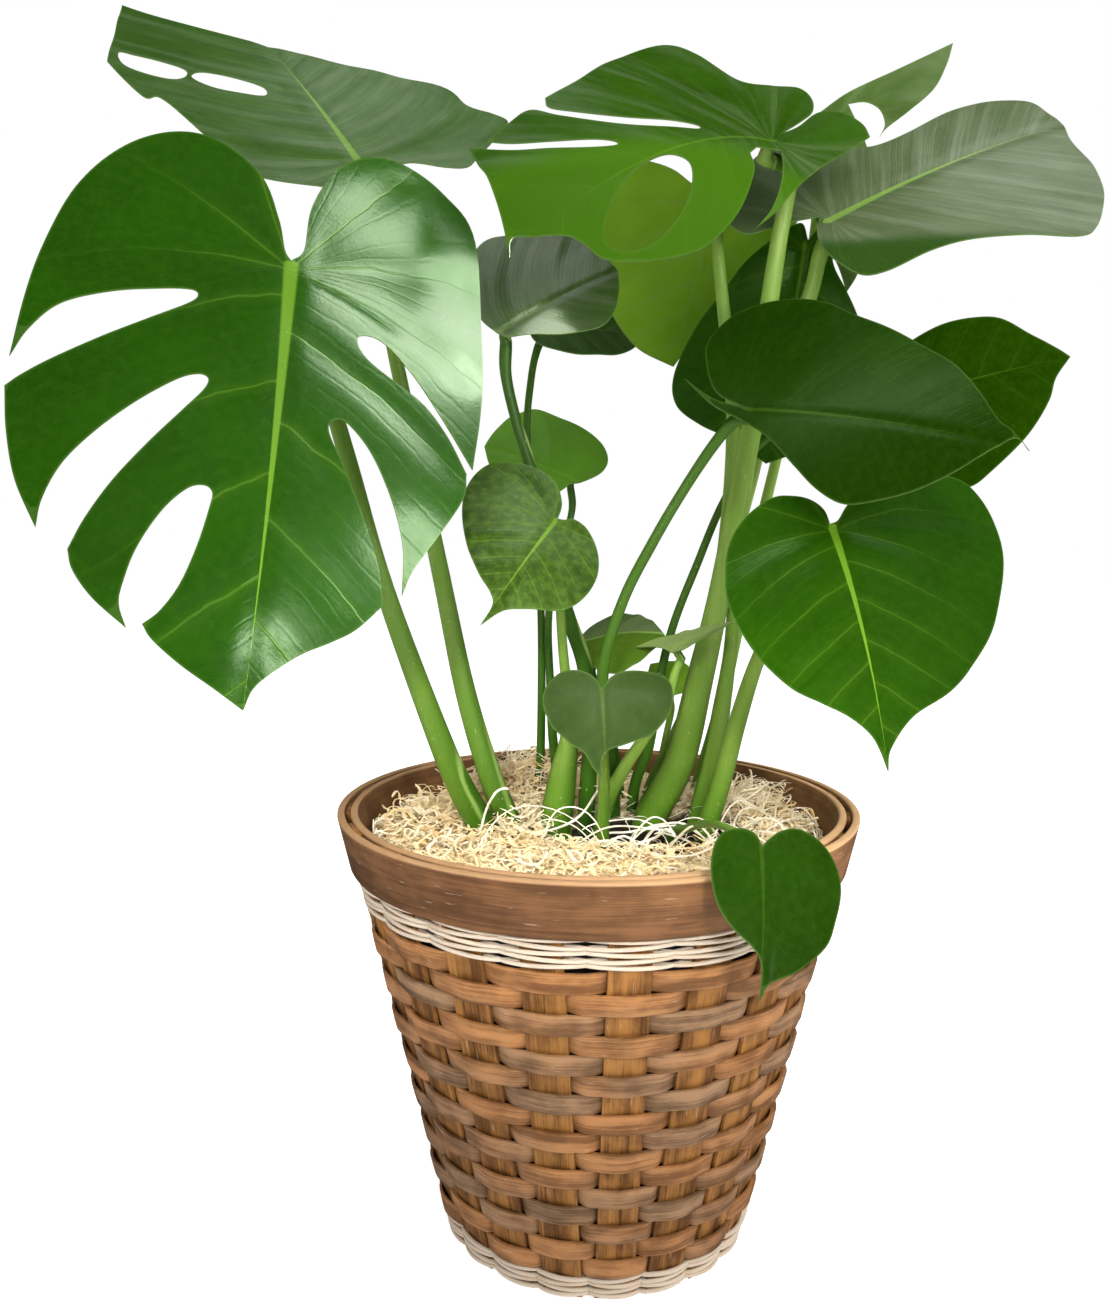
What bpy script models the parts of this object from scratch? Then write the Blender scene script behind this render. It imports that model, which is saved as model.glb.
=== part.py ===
"""Potted monstera: a young plant in a tapered splint basket, metres, +Z up, centred on the basket's foot."""

import math
import random

import bmesh
import bpy
import numpy as np
from mathutils import Vector
from mathutils.geometry import delaunay_2d_cdt

# Basket
HEIGHT = 0.235
STAKES = 20
STAKE_WIDTH = 0.020
STAKE_THICK = 0.002
STAKE_RADIUS_FOOT = 0.0815
STAKE_RADIUS_TOP = 0.1347
STAKE_TURN = math.radians(-83.0)
BASE_THICK = 0.004
HOOP_HEIGHT = 0.028
HOOP_THICK = 0.004
STRIP_ROWS = 16
STRIP_THICK = 0.0016
STRIP_BOTTOM = 0.0145
STRIP_TOP = 0.1885
STRIP_GAP = 0.0003
REED = 0.0034
TOP_REED_ROWS = 5
FOOT_REED_ROWS = 4
CLEAR = 0.0003

# Growing pot, soil and wood wool
POT_SPACE = 0.0068
POT_WALL = 0.002
POT_TOP = 0.2045
POT_SIDES = 32
SOIL_TOP = 0.2005
WOOL_BOTTOM = 0.2052
WOOL_EDGE = 0.2165
STALK_FOOT = 0.184

# Leaves
BLADE_THICK = 0.0008
BLADE_STEP = 0.023
OUTLINE_SAG = 0.0010
STALK_SIDES = 5
STALK_GAP = 0.0005

# The leaves and stalks are placed as they stand in the front view: column and row from its top left
# corner, then how far the point lies behind the basket's axis, in metres.
EYE = np.array([0.0, -0.592, 0.389])
LOOK_DOWN = math.radians(7.1)
LOOK_LEFT = math.radians(2.265)
VIEW_SCALE = 1100.0
VIEW_MIDDLE = (554.0, 655.0)

# Each blade: junction, tip, one point beside the midrib, which face is turned to the front,
# the bend (slope and curl of that side, slope and curl of the other, arch, drop behind the junction),
# the outline (a third number marks a corner), and the holes.
BLADES = {
    "01_front_left": {
        "junction": (291, 270, -0.090),
        "tip": (243, 711, -0.150),
        "beside": (482, 350, -0.062),
        "face": 1,
        "bend": (-0.10, -0.9, -0.10, -0.9, 0.25, 0.6),
        "outline": [
            (291, 261, 1), (285, 250), (279, 219), (261, 175), (217, 140), (170, 132), (119, 148), (75, 187),
            (43, 246), (24, 298), (9, 355, 1), (28, 328), (60, 303), (110, 291), (160, 288), (190, 289),
            (198, 294), (190, 302), (150, 317), (100, 336), (50, 358), (20, 374), (4, 385, 1), (6, 430),
            (15, 480), (35, 527, 1), (42, 498), (62, 463), (95, 431), (135, 402), (175, 380), (197, 374),
            (208, 378), (204, 389), (182, 410), (148, 442), (112, 480), (84, 518), (67, 549, 1), (72, 570),
            (92, 598), (126, 628, 1), (119, 605), (122, 585), (136, 548), (161, 511), (186, 489), (203, 485),
            (212, 492), (209, 508), (197, 545), (180, 583), (160, 610), (142, 624, 1), (152, 640), (180, 665),
            (215, 690), (243, 711, 1), (257, 685), (297, 657), (330, 643), (356, 630), (383, 606, 1), (379, 570),
            (366, 525), (346, 472), (329, 432), (334, 420), (348, 424), (372, 455), (393, 505), (403, 550),
            (402, 596, 1), (412, 572), (430, 547), (463, 500), (467, 474, 1), (448, 437), (424, 405), (395, 382),
            (369, 361), (358, 345), (361, 336), (382, 342), (412, 374), (443, 420), (473, 470, 1), (480, 416),
            (482, 357), (475, 243), (443, 195), (403, 165), (368, 158), (336, 171), (312, 207), (304, 250),
        ],
    },
    "02_back_left": {
        "junction": (357, 158, 0.035),
        "tip": (268, 46, 0.090),
        "beside": (122, 5, 0.080),
        "face": 1,
        "bend": (-0.05, -0.4, -0.05, -0.4, 0.08, 0.0),
        "outline": [
            (350, 176, 1), (340, 186), (318, 186), (258, 177), (225, 152), (190, 122), (160, 98), (143, 97),
            (107, 61, 1), (114, 35), (122, 5, 1), (150, 14), (200, 28), (268, 46, 1), (350, 66), (440, 87),
            (467, 105), (492, 113), (508, 122), (498, 136), (478, 158), (467, 168), (445, 168), (410, 163),
            (380, 172), (362, 178),
        ],
        "holes": [
            [(119, 53), (135, 56), (160, 62), (184, 70), (186, 77), (172, 79), (145, 73), (123, 64)],
            [(192, 78), (200, 73), (225, 76), (255, 84), (266, 90), (264, 96), (240, 93), (212, 87)],
        ],
    },
    "03_top_centre": {
        "junction": (772, 140, 0.000),
        "tip": (509, 256, -0.090),
        "beside": (640, 55, 0.055),
        "face": 1,
        "bend": (0.05, -0.3, -0.40, -1.5, 0.45, 0.0),
        "outline": [
            (781, 134, 1), (802, 121), (813, 111), (811, 98), (798, 88), (772, 86), (738, 81), (696, 55),
            (666, 46), (632, 53), (602, 66), (568, 85), (545, 99, 1), (549, 108), (575, 112), (625, 117),
            (670, 120), (697, 125), (698, 129), (672, 127), (620, 124), (560, 116), (530, 111), (508, 124),
            (486, 141, 1), (512, 143), (550, 141), (592, 139), (614, 141), (616, 145), (592, 147), (550, 148),
            (512, 150), (469, 148, 1), (478, 165), (487, 177), (497, 204), (504, 230), (509, 256, 1), (513, 238), (540, 236),
            (568, 236), (585, 245), (604, 259), (640, 262), (679, 256), (708, 245), (738, 213), (754, 172),
            (750, 153, 1), (757, 147, 1), (770, 149), (781, 151, 1), (783, 166), (780, 188), (771, 210),
            (755, 229, 1), (776, 212), (796, 189), (822, 167), (848, 152), (870, 137, 1), (862, 124),
            (842, 113), (818, 113), (798, 127),
        ],
        "holes": [
            [(645, 162), (668, 154), (690, 163), (691, 190), (679, 217), (655, 243), (628, 252), (606, 244),
             (605, 222), (615, 195), (630, 175)],
        ],
    },
    "04_top_behind": {
        "junction": (825, 140, 0.085),
        "tip": (847, 292, 0.075),
        "beside": (930, 80, 0.095),
        "face": 1,
        "bend": (-0.1, -0.5, -0.1, -0.5, 0.2, 0.0),
        "outline": [
            (819, 113, 1), (849, 92), (900, 68), (953, 43, 1), (947, 64), (934, 89), (909, 111), (887, 128),
            (879, 138, 1), (885, 124), (880, 109), (866, 102), (848, 104, 1), (860, 130), (872, 165), (874, 210),
            (866, 250), (857, 275), (847, 292, 1), (838, 266), (822, 235), (808, 195), (802, 155), (808, 128),
        ],
    },
    "05_backlit": {
        "junction": (716, 212, 0.075),
        "tip": (673, 367, 0.088),
        "beside": (800, 230, 0.085),
        "face": -1,
        "bend": (-0.1, -0.5, -0.1, -0.5, 0.2, 0.0),
        "outline": [
            (716, 203, 1), (704, 192), (690, 182), (676, 171), (660, 164), (642, 161), (622, 170), (604, 194),
            (593, 228), (594, 262), (603, 290), (614, 318), (637, 348), (673, 367, 1), (700, 332), (728, 294),
            (748, 265), (772, 243), (796, 224), (799, 204), (780, 184), (750, 182), (728, 192),
        ],
    },
    "06_top_right": {
        "junction": (831, 219, 0.020),
        "tip": (1064, 124, 0.100),
        "beside": (1100, 210, 0.040),
        "face": 1,
        "bend": (-0.05, -0.8, 0.0, -0.5, 0.12, 0.0),
        "outline": [
            (820, 217, 1), (797, 221), (771, 228), (751, 234), (738, 231), (729, 221), (733, 200), (742, 176),
            (757, 156), (780, 149), (812, 147), (842, 149), (875, 146), (909, 132), (951, 111), (990, 102), (1028, 102), (1050, 115), (1064, 124, 1), (1071, 141),
            (1096, 170), (1104, 200), (1096, 228), (1079, 236), (1028, 234), (973, 239), (930, 251), (887, 271),
            (862, 275), (838, 262), (823, 248), (817, 232),
        ],
    },
    "07_dark_middle": {
        "junction": (804, 250, 0.048),
        "tip": (766, 464, 0.058),
        "beside": (862, 330, 0.055),
        "face": 1,
        "bend": (-0.1, -0.5, -0.1, -0.5, 0.15, 0.0),
        "outline": [
            (808, 240, 1), (803, 224), (792, 226), (771, 240), (746, 261), (724, 290), (696, 327), (674, 374),
            (676, 405), (700, 425), (732, 440), (766, 464, 1), (806, 448), (842, 420), (862, 385), (866, 345),
            (857, 315), (846, 290), (834, 266), (830, 240), (822, 226),
        ],
    },
    "08_big_right": {
        "junction": (752, 409, -0.050),
        "tip": (1030, 450, -0.105),
        "beside": (820, 303, -0.030),
        "face": 1,
        "bend": (-0.15, -0.6, -0.05, -1.2, 0.20, 0.0),
        "outline": [
            (745, 408, 1), (716, 392), (706, 362), (710, 338), (738, 313), (781, 301), (823, 302), (857, 315),
            (909, 338), (951, 362), (977, 388), (998, 419), (1012, 430), (1030, 450, 1), (1016, 438), (994, 448),
            (951, 474), (908, 493), (866, 503), (840, 503), (815, 488), (793, 465), (768, 438), (742, 421),
            (712, 405), (685, 379, 1), (714, 399),
        ],
    },
    "09_dark_right": {
        "junction": (905, 398, 0.000),
        "tip": (1071, 356, -0.010),
        "beside": (965, 485, -0.020),
        "face": 1,
        "bend": (-0.1, -0.5, -0.1, -0.5, 0.15, 0.0),
        "outline": [
            (897, 398, 1), (890, 385), (893, 358), (915, 338), (951, 322), (994, 317), (1036, 337), (1071, 356, 1),
            (1056, 378), (1049, 401), (1028, 435), (994, 469), (970, 487), (945, 484), (915, 465), (893, 435),
            (888, 412),
        ],
    },
    "10_right_heart": {
        "junction": (834, 531, -0.075),
        "tip": (889, 772, -0.115),
        "beside": (1000, 560, -0.070),
        "face": 1,
        "bend": (-0.15, -0.9, -0.15, -0.9, 0.25, 0.4),
        "outline": [
            (830, 524, 1), (824, 510), (811, 500), (794, 496), (772, 498), (747, 516), (730, 542), (725, 572),
            (730, 610), (755, 653), (789, 687), (823, 704), (849, 717), (870, 734), (881, 752), (889, 772, 1),
            (892, 748), (913, 717), (951, 691), (981, 653), (998, 610), (1003, 563), (994, 525), (977, 495),
            (955, 478), (915, 474), (875, 484), (850, 502), (838, 520),
        ],
    },
    "11_rim_heart": {
        "junction": (762, 851, -0.129),
        "tip": (760, 1002, -0.158),
        "beside": (838, 890, -0.128),
        "face": 1,
        "bend": (-0.15, -1.5, -0.15, -1.5, 0.20, 0.5),
        "outline": [
            (762, 846, 1), (757, 836), (749, 830), (738, 828), (723, 832), (713, 848), (711, 874), (717, 904),
            (734, 930), (751, 946), (762, 965), (760, 1002, 1), (770, 984), (793, 974), (819, 955), (834, 929),
            (840, 891), (834, 861), (819, 840), (798, 829), (781, 831), (769, 839),
        ],
    },
    "12_front_heart": {
        "junction": (602, 693, -0.085),
        "tip": (607, 785, -0.105),
        "beside": (672, 700, -0.085),
        "face": 1,
        "bend": (-0.10, -2.0, -0.10, -2.0, 0.15, 0.5),
        "outline": [
            (601, 688, 1), (597, 680), (589, 674), (576, 670), (559, 673), (546, 687), (543, 704), (551, 725),
            (568, 742), (584, 753), (593, 768), (607, 785, 1), (602, 768), (606, 752), (627, 744), (653, 734),
            (670, 712), (673, 691), (666, 678), (649, 672), (627, 671), (612, 676), (605, 685),
        ],
    },
    "13_left_heart": {
        "junction": (553, 524, -0.050),
        "tip": (480, 625, -0.085),
        "beside": (594, 565, -0.058),
        "face": 1,
        "bend": (-0.15, -1.5, -0.15, -1.5, 0.20, 0.5),
        "outline": [
            (558, 519, 1), (562, 503), (555, 482), (534, 467), (508, 462), (487, 465), (470, 482), (462, 508),
            (466, 542), (478, 572), (490, 592), (492, 605), (480, 625, 1), (503, 611), (525, 609), (563, 610),
            (585, 597), (597, 576), (597, 550), (587, 529), (573, 519), (565, 520),
        ],
    },
    "14_back_heart": {
        "junction": (571, 478, 0.085),
        "tip": (484, 446, 0.110),
        "beside": (540, 412, 0.130),
        "face": 1,
        "bend": (-0.10, -1.0, -0.10, -1.0, 0.15, 0.5),
        "outline": [
            (570, 484, 1), (582, 482), (602, 472), (608, 457), (598, 440), (568, 421), (531, 410), (502, 424),
            (484, 446, 1), (492, 470), (515, 492), (545, 500), (562, 490),
        ],
    },
    "15_grey_heart": {
        "junction": (503, 330, -0.030),
        "tip": (618, 270, 0.000),
        "beside": (565, 334, -0.035),
        "face": 1,
        "bend": (-0.10, -1.0, 0.0, -0.6, 0.12, 0.5),
        "outline": [
            (497, 333, 1), (480, 318), (468, 290), (470, 262), (485, 241), (512, 235), (568, 236), (596, 249),
            (618, 270, 1), (619, 290), (614, 312), (598, 328), (564, 334), (530, 334), (508, 337),
        ],
    },
    "16_behind_grey": {
        "junction": (545, 325, 0.095),
        "tip": (645, 338, 0.110),
        "beside": (595, 354, 0.085),
        "face": 1,
        "bend": (-0.10, -1.0, -0.10, -1.0, 0.15, 0.5),
        "outline": [
            (538, 324, 1), (530, 332), (538, 343), (560, 351), (598, 355), (627, 352), (645, 338, 1), (635, 305),
            (605, 285), (570, 284), (545, 298), (537, 312),
        ],
    },
    "17_curled": {
        "junction": (590, 650, 0.030),
        "tip": (667, 637, 0.020),
        "beside": (620, 673, 0.010),
        "face": 1,
        "bend": (-0.10, -2.0, -0.30, -6.0, 0.30, 0.5),
        "outline": [
            (583, 652, 1), (580, 638), (596, 623), (623, 614), (649, 619), (667, 637, 1), (653, 650), (636, 664),
            (617, 673), (600, 671), (588, 662),
        ],
    },
    "18_edge_on": {
        "junction": (674, 648, -0.014),
        "tip": (736, 620, -0.022),
        "beside": (695, 630, -0.005),
        "face": 1,
        "bend": (0.0, 0.0, 0.0, 0.0, 0.10, 0.0),
        "outline": [
            (672, 653, 1), (660, 648), (636, 648, 1), (661, 638), (695, 629), (736, 620, 1), (705, 637), (686, 648),
        ],
    },
    "19_small_olive": {
        "junction": (670, 690, 0.050),
        "tip": (650, 664, 0.055),
        "beside": (688, 668, 0.055),
        "face": -1,
        "bend": (0.0, 0.0, 0.0, 0.0, 0.10, 0.0),
        "outline": [
            (670, 696, 1), (656, 688), (648, 676), (650, 664, 1), (668, 661), (686, 664), (692, 678), (684, 692),
        ],
    },
}

# Each stalk: the blade that it holds, then points of its centre line from the wool upwards,
# each with its radius in millimetres. The last stretch is added to meet the blade.
STALKS = {
    "01": [(487, 838, -0.010, 8.3), (463, 792, -0.018, 7.4), (440, 740, -0.028, 6.4), (385, 590, -0.050, 4.8),
           (348, 460, -0.064, 4.2), (318, 360, -0.074, 3.8)],
    "02": [(513, 836, 0.008, 7.3), (490, 775, 0.008, 6.6), (465, 690, 0.014, 5.8), (440, 570, 0.022, 5.0),
           (395, 355, 0.034, 4.0), (370, 230, 0.040, 3.5)],
    "03": [(650, 818, 0.022, 9.5), (679, 763, 0.018, 8.8), (700, 678, 0.012, 8.0), (721, 585, 0.008, 7.0),
           (751, 423, 0.005, 5.6), (770, 298, 0.005, 4.8), (779, 240, 0.007, 4.4), (788, 194, 0.011, 4.0),
           (792, 170, 0.014, 3.6)],
    "04": [(694, 803, 0.070, 4.5), (722, 700, 0.085, 4.0), (752, 560, 0.098, 3.6), (785, 420, 0.110, 3.2),
           (805, 300, 0.112, 3.0), (818, 200, 0.110, 2.8)],
    "05": [(668, 808, 0.046, 5.5), (690, 740, 0.040, 5.0), (712, 640, 0.036, 4.6), (728, 520, 0.031, 4.2),
           (733, 418, 0.022, 3.8), (725, 324, 0.014, 3.5), (718, 250, 0.018, 3.2)],
    "06": [(698, 827, 0.015, 6.5), (713, 763, 0.014, 6.2), (721, 712, 0.014, 6.0), (730, 652, 0.015, 5.6),
           (735, 585, 0.018, 5.2), (742, 516, 0.022, 4.8), (760, 422, 0.024, 4.4), (785, 352, 0.025, 4.2),
           (809, 298, 0.026, 4.2), (820, 255, 0.026, 4.0)],
    "07": [(648, 794, 0.066, 4.0), (690, 700, 0.068, 3.8), (730, 560, 0.072, 3.4), (757, 463, 0.078, 3.0),
           (780, 350, 0.074, 2.8)],
    "08": [(613, 802, 0.030, 4.2), (607, 740, 0.010, 3.8), (603, 670, -0.012, 3.2), (623, 601, -0.022, 2.8),
           (653, 542, -0.030, 2.7), (683, 491, -0.035, 2.6), (713, 446, -0.038, 2.8), (736, 420, -0.040, 3.0)],
    "09": [(634, 789, 0.038, 3.4), (649, 746, 0.034, 3.0), (661, 674, 0.034, 2.6), (674, 623, 0.034, 2.4),
           (696, 567, 0.036, 2.3), (725, 499, 0.039, 2.2), (765, 440, 0.038, 2.1), (840, 408, 0.022, 2.0)],
    "10": [(706, 832, -0.002, 6.0), (722, 780, -0.006, 5.4), (738, 720, -0.014, 4.8), (759, 657, -0.028, 3.8),
           (790, 600, -0.044, 3.2), (818, 555, -0.060, 2.8)],
    "11": [(672, 836, -0.012, 3.0), (686, 829, -0.034, 2.4), (702, 824, -0.062, 2.0), (722, 826, -0.090, 1.8),
           (745, 838, -0.114, 1.8)],
    "12": [(603, 824, -0.022, 3.4), (604, 780, -0.036, 3.0), (603, 740, -0.054, 2.4), (602, 712, -0.070, 2.0)],
    "13": [(556, 826, 0.000, 9.0), (563, 775, 0.000, 7.6), (569, 738, 0.000, 5.0), (568, 700, -0.004, 3.2),
           (563, 650, -0.014, 2.6), (559, 590, -0.028, 2.3), (557, 552, -0.038, 2.2)],
    "14": [(560, 796, 0.050, 3.2), (553, 740, 0.052, 2.8), (550, 680, 0.056, 2.4), (549, 612, 0.062, 2.2),
           (562, 550, 0.074, 2.1), (572, 510, 0.086, 2.0)],
    "15": [(586, 815, 0.012, 5.0), (590, 740, 0.014, 4.6), (585, 668, 0.010, 4.4), (566, 610, 0.004, 4.0),
           (546, 530, -0.004, 3.4), (529, 461, -0.012, 3.0), (516, 420, -0.018, 2.8), (506, 375, -0.024, 2.8)],
    "16": [(538, 792, 0.056, 2.8), (541, 740, 0.058, 2.6), (541, 612, 0.064, 2.3), (534, 520, 0.068, 2.2),
           (527, 435, 0.074, 2.2), (531, 380, 0.084, 2.2), (537, 350, 0.092, 2.2)],
    "17": [(620, 798, 0.052, 3.0), (612, 740, 0.048, 2.6), (600, 695, 0.044, 2.2), (592, 672, 0.040, 2.0)],
    "18": [(604, 812, -0.001, 4.4), (622, 772, -0.006, 3.8), (645, 737, -0.009, 3.2), (666, 705, -0.011, 2.7),
           (675, 674, -0.013, 2.2)],
    "19": [(655, 798, 0.052, 2.4), (664, 745, 0.050, 2.0), (671, 712, 0.049, 1.8)],
}


def remove_all():
    for obj in list(bpy.data.objects):
        bpy.data.objects.remove(obj)


def material(name, colour, roughness):
    made = bpy.data.materials.new(name)
    made.use_nodes = True
    shader = made.node_tree.nodes["Principled BSDF"]
    shader.inputs["Base Color"].default_value = (*colour, 1.0)
    shader.inputs["Roughness"].default_value = roughness
    shader.inputs["Metallic"].default_value = 0.0
    made.diffuse_color = (*colour, 1.0)
    return made


def mesh_object(name, points, faces, look, smooth=False):
    mesh = bpy.data.meshes.new(name)
    mesh.from_pydata([tuple(p) for p in points], [], faces)
    mesh.update()
    work = bmesh.new()
    work.from_mesh(mesh)
    bmesh.ops.recalc_face_normals(work, faces=work.faces)
    if work.calc_volume(signed=True) < 0:
        bmesh.ops.reverse_faces(work, faces=work.faces)
    work.to_mesh(mesh)
    work.free()
    for face in mesh.polygons:
        face.use_smooth = smooth
    mesh.materials.append(look)
    obj = bpy.data.objects.new(name, mesh)
    bpy.context.scene.collection.objects.link(obj)
    return obj


def sweep_ring(sections):
    """Points and faces of a closed ring: the same closed profile at every step round."""
    count = len(sections[0])
    points = [p for section in sections for p in section]
    faces = []
    for i in range(len(sections)):
        a = i * count
        b = (i + 1) % len(sections) * count
        for j in range(count):
            k = (j + 1) % count
            faces.append((a + j, b + j, b + k, a + k))
    return points, faces


def box_points(corners):
    faces = [(0, 1, 2, 3), (4, 7, 6, 5), (0, 4, 5, 1), (1, 5, 6, 2), (2, 6, 7, 3), (3, 7, 4, 0)]
    return corners, faces


def join_bodies(name, bodies, look, solver, smooth=False):
    """One body from a list of (points, faces) that overlap where they meet."""
    first = mesh_object(name, *bodies[0], look, smooth)
    group = bpy.data.collections.new(name + "_pieces")
    for number, body in enumerate(bodies[1:]):
        piece = mesh_object(f"{name}_{number}", *body, look, smooth)
        bpy.context.scene.collection.objects.unlink(piece)
        group.objects.link(piece)
    union = first.modifiers.new("Join", "BOOLEAN")
    union.operation = "UNION"
    union.operand_type = "COLLECTION"
    union.collection = group
    union.solver = solver
    bake(first)
    for piece in list(group.objects):
        bpy.data.objects.remove(piece)
    bpy.data.collections.remove(group)
    return first


def cut_bodies(obj, bodies, solver):
    """Takes each (points, faces) out of the object."""
    group = bpy.data.collections.new(obj.name + "_cutters")
    for number, body in enumerate(bodies):
        piece = mesh_object(f"{obj.name}_cut_{number}", *body, obj.data.materials[0])
        bpy.context.scene.collection.objects.unlink(piece)
        group.objects.link(piece)
    cut = obj.modifiers.new("Cut", "BOOLEAN")
    cut.operation = "DIFFERENCE"
    cut.operand_type = "COLLECTION"
    cut.collection = group
    cut.solver = solver
    bake(obj)
    for piece in list(group.objects):
        bpy.data.objects.remove(piece)
    bpy.data.collections.remove(group)


def bake(obj):
    """Applies the object's modifiers to its mesh."""
    graph = bpy.context.evaluated_depsgraph_get()
    mesh = bpy.data.meshes.new_from_object(obj.evaluated_get(graph))
    obj.modifiers.clear()
    old = obj.data
    obj.data = mesh
    bpy.data.meshes.remove(old)
    mesh.name = obj.name


def around(radius, angle, z):
    return (radius * math.cos(angle), radius * math.sin(angle), z)


def stake_radius(z):
    return STAKE_RADIUS_FOOT + (STAKE_RADIUS_TOP - STAKE_RADIUS_FOOT) * z / HEIGHT


def stake_angle(number):
    return STAKE_TURN + 2 * math.pi * number / STAKES


def flat_section(number, side, out, z):
    """Point beside a stake, on the flat that it lies in: out from its middle layer, side along its width."""
    angle = stake_angle(number)
    radius = stake_radius(z) + out
    x = radius * math.cos(angle) - side * math.sin(angle)
    y = radius * math.sin(angle) + side * math.cos(angle)
    return (x, y, z)


def hoop(name, inner, outer, look):
    """Bent wood hoop round the stakes' tops, its flats against the stakes."""
    bottom = HEIGHT - HOOP_HEIGHT
    half = STAKE_WIDTH / 2
    sections = []
    for number in range(STAKES):
        for side in (-half, half):
            sections.append([
                flat_section(number, side, inner, bottom),
                flat_section(number, side, outer, bottom),
                flat_section(number, side, outer, HEIGHT),
                flat_section(number, side, inner, HEIGHT),
            ])
    return mesh_object(name, *sweep_ring(sections), look, True)


def reed_band(name, bottom, rows, look):
    """Rows of twined reed outside the stakes, each row a ridge."""
    half = STAKE_WIDTH / 2
    inner = STAKE_THICK / 2 + CLEAR
    sections = []
    for number in range(STAKES):
        for side in (-half, half):
            section = [flat_section(number, side, inner, bottom)]
            for row in range(rows):
                section.append(flat_section(number, side, inner + 0.0018, bottom + row * REED))
                section.append(flat_section(number, side, inner + 0.0034, bottom + (row + 0.5) * REED))
            section.append(flat_section(number, side, inner + 0.0018, bottom + rows * REED))
            section.append(flat_section(number, side, inner, bottom + rows * REED))
            sections.append(section)
    return mesh_object(name, *sweep_ring(sections), look, True)


def strip_row(row):
    """One woven strip: outside every other stake, inside the ones between."""
    step = (STRIP_TOP - STRIP_BOTTOM) / STRIP_ROWS
    low = STRIP_BOTTOM + row * step + STRIP_GAP / 2
    high = low + step - STRIP_GAP
    half = STRIP_THICK / 2
    reach = STAKE_THICK / 2 + 0.00025 + half
    sections = []
    for number in range(STAKES):
        away = reach if (number + row) % 2 == 0 else -reach
        for side in (-STAKE_WIDTH / 2 - 0.0004, STAKE_WIDTH / 2 + 0.0004):
            sections.append([
                flat_section(number, side, away - half, low),
                flat_section(number, side, away + half, low),
                flat_section(number, side, away + half, high),
                flat_section(number, side, away - half, high),
            ])
    return sweep_ring(sections)


def strip_tail(row):
    """The end of a strip, tucked against the row above on the inside of a gap."""
    step = (STRIP_TOP - STRIP_BOTTOM) / STRIP_ROWS
    level = STRIP_BOTTOM + (row + 1) * step
    angle = stake_angle(5 + 3 * row % 10) + math.pi / STAKES
    corners = []
    for z in (level - 0.0032, level + 0.0032):
        for away, side in ((-0.0018, -0.0012), (0.0001, -0.0012), (0.0001, 0.0012), (-0.0018, 0.0012)):
            radius = stake_radius(z) * math.cos(math.pi / STAKES) + STAKE_WIDTH / 2 * math.sin(math.pi / STAKES) + away
            corners.append((
                radius * math.cos(angle) - side * math.sin(angle),
                radius * math.sin(angle) + side * math.cos(angle),
                z,
            ))
    return box_points(corners)


def basket(looks):
    half = STAKE_WIDTH / 2
    bodies = [disc_body([(0.0, BASE_THICK), (STAKE_RADIUS_FOOT - 0.0004, BASE_THICK),
                         (STAKE_RADIUS_FOOT - 0.0004, 0.0), (0.0, 0.0)], 40)]
    top = HEIGHT - 0.0012
    for number in range(STAKES):
        corners = []
        for z in (0.0, top):
            for away, side in ((-1, -1), (1, -1), (1, 1), (-1, 1)):
                corners.append(flat_section(number, side * half, away * STAKE_THICK / 2, z))
        bodies.append(box_points(corners))
    join_bodies("stakes", bodies, looks["stake"], "EXACT")
    layer = STAKE_THICK / 2 + CLEAR
    hoop("rim_outer", layer, layer + HOOP_THICK, looks["hoop"])
    hoop("rim_inner", -layer - HOOP_THICK, -layer, looks["hoop"])
    reed_band("reed_top", HEIGHT - HOOP_HEIGHT - CLEAR - TOP_REED_ROWS * REED, TOP_REED_ROWS, looks["reed"])
    reed_band("reed_foot", 0.0004, FOOT_REED_ROWS, looks["reed"])
    rows = [strip_row(row) for row in range(STRIP_ROWS)]
    tails = [strip_tail(row) for row in range(STRIP_ROWS - 1)]
    join_bodies("strips", rows + tails, looks["strip"], "EXACT")


def disc_body(profile, sides, turn=0.0):
    """Turned body from a profile of (radius, z) that starts and ends on the axis."""
    points = [(0.0, 0.0, profile[0][1])]
    faces = []
    inner = profile[1:-1]
    for radius, z in inner:
        for i in range(sides):
            points.append(around(radius, turn + 2 * math.pi * i / sides, z))
    points.append((0.0, 0.0, profile[-1][1]))
    for i in range(sides):
        j = (i + 1) % sides
        faces.append((0, 1 + i, 1 + j))
        for ring in range(len(inner) - 1):
            a = 1 + ring * sides
            b = a + sides
            faces.append((a + i, b + i, b + j, a + j))
        last = 1 + (len(inner) - 1) * sides
        faces.append((len(points) - 1, last + j, last + i))
    return points, faces


def pot_inside(z):
    """Inner radius of the growing pot at this height."""
    foot = BASE_THICK + CLEAR
    low = stake_radius(foot) - POT_SPACE - POT_WALL
    high = stake_radius(POT_TOP) - POT_SPACE - POT_WALL
    return low + (high - low) * (z - foot - POT_WALL) / (POT_TOP - foot - POT_WALL)


def growing_pot(looks):
    foot = BASE_THICK + CLEAR
    inner_foot = pot_inside(foot + POT_WALL)
    inner_top = pot_inside(POT_TOP)
    profile = [
        (0.0, foot), (inner_foot + POT_WALL, foot), (inner_top + POT_WALL, POT_TOP), (inner_top, POT_TOP),
        (inner_foot, foot + POT_WALL), (0.0, foot + POT_WALL),
    ]
    mesh_object("growing_pot", *disc_body(profile, POT_SIDES), looks["pot"], True)


def soil_body():
    foot = BASE_THICK + 2 * CLEAR + POT_WALL
    low = pot_inside(foot) - CLEAR - 0.0001
    high = pot_inside(SOIL_TOP) - CLEAR - 0.0001
    profile = [(0.0, foot), (low, foot), (high, SOIL_TOP - 0.001), (0.09, SOIL_TOP), (0.0, SOIL_TOP + 0.001)]
    return disc_body(profile, POT_SIDES)


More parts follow.
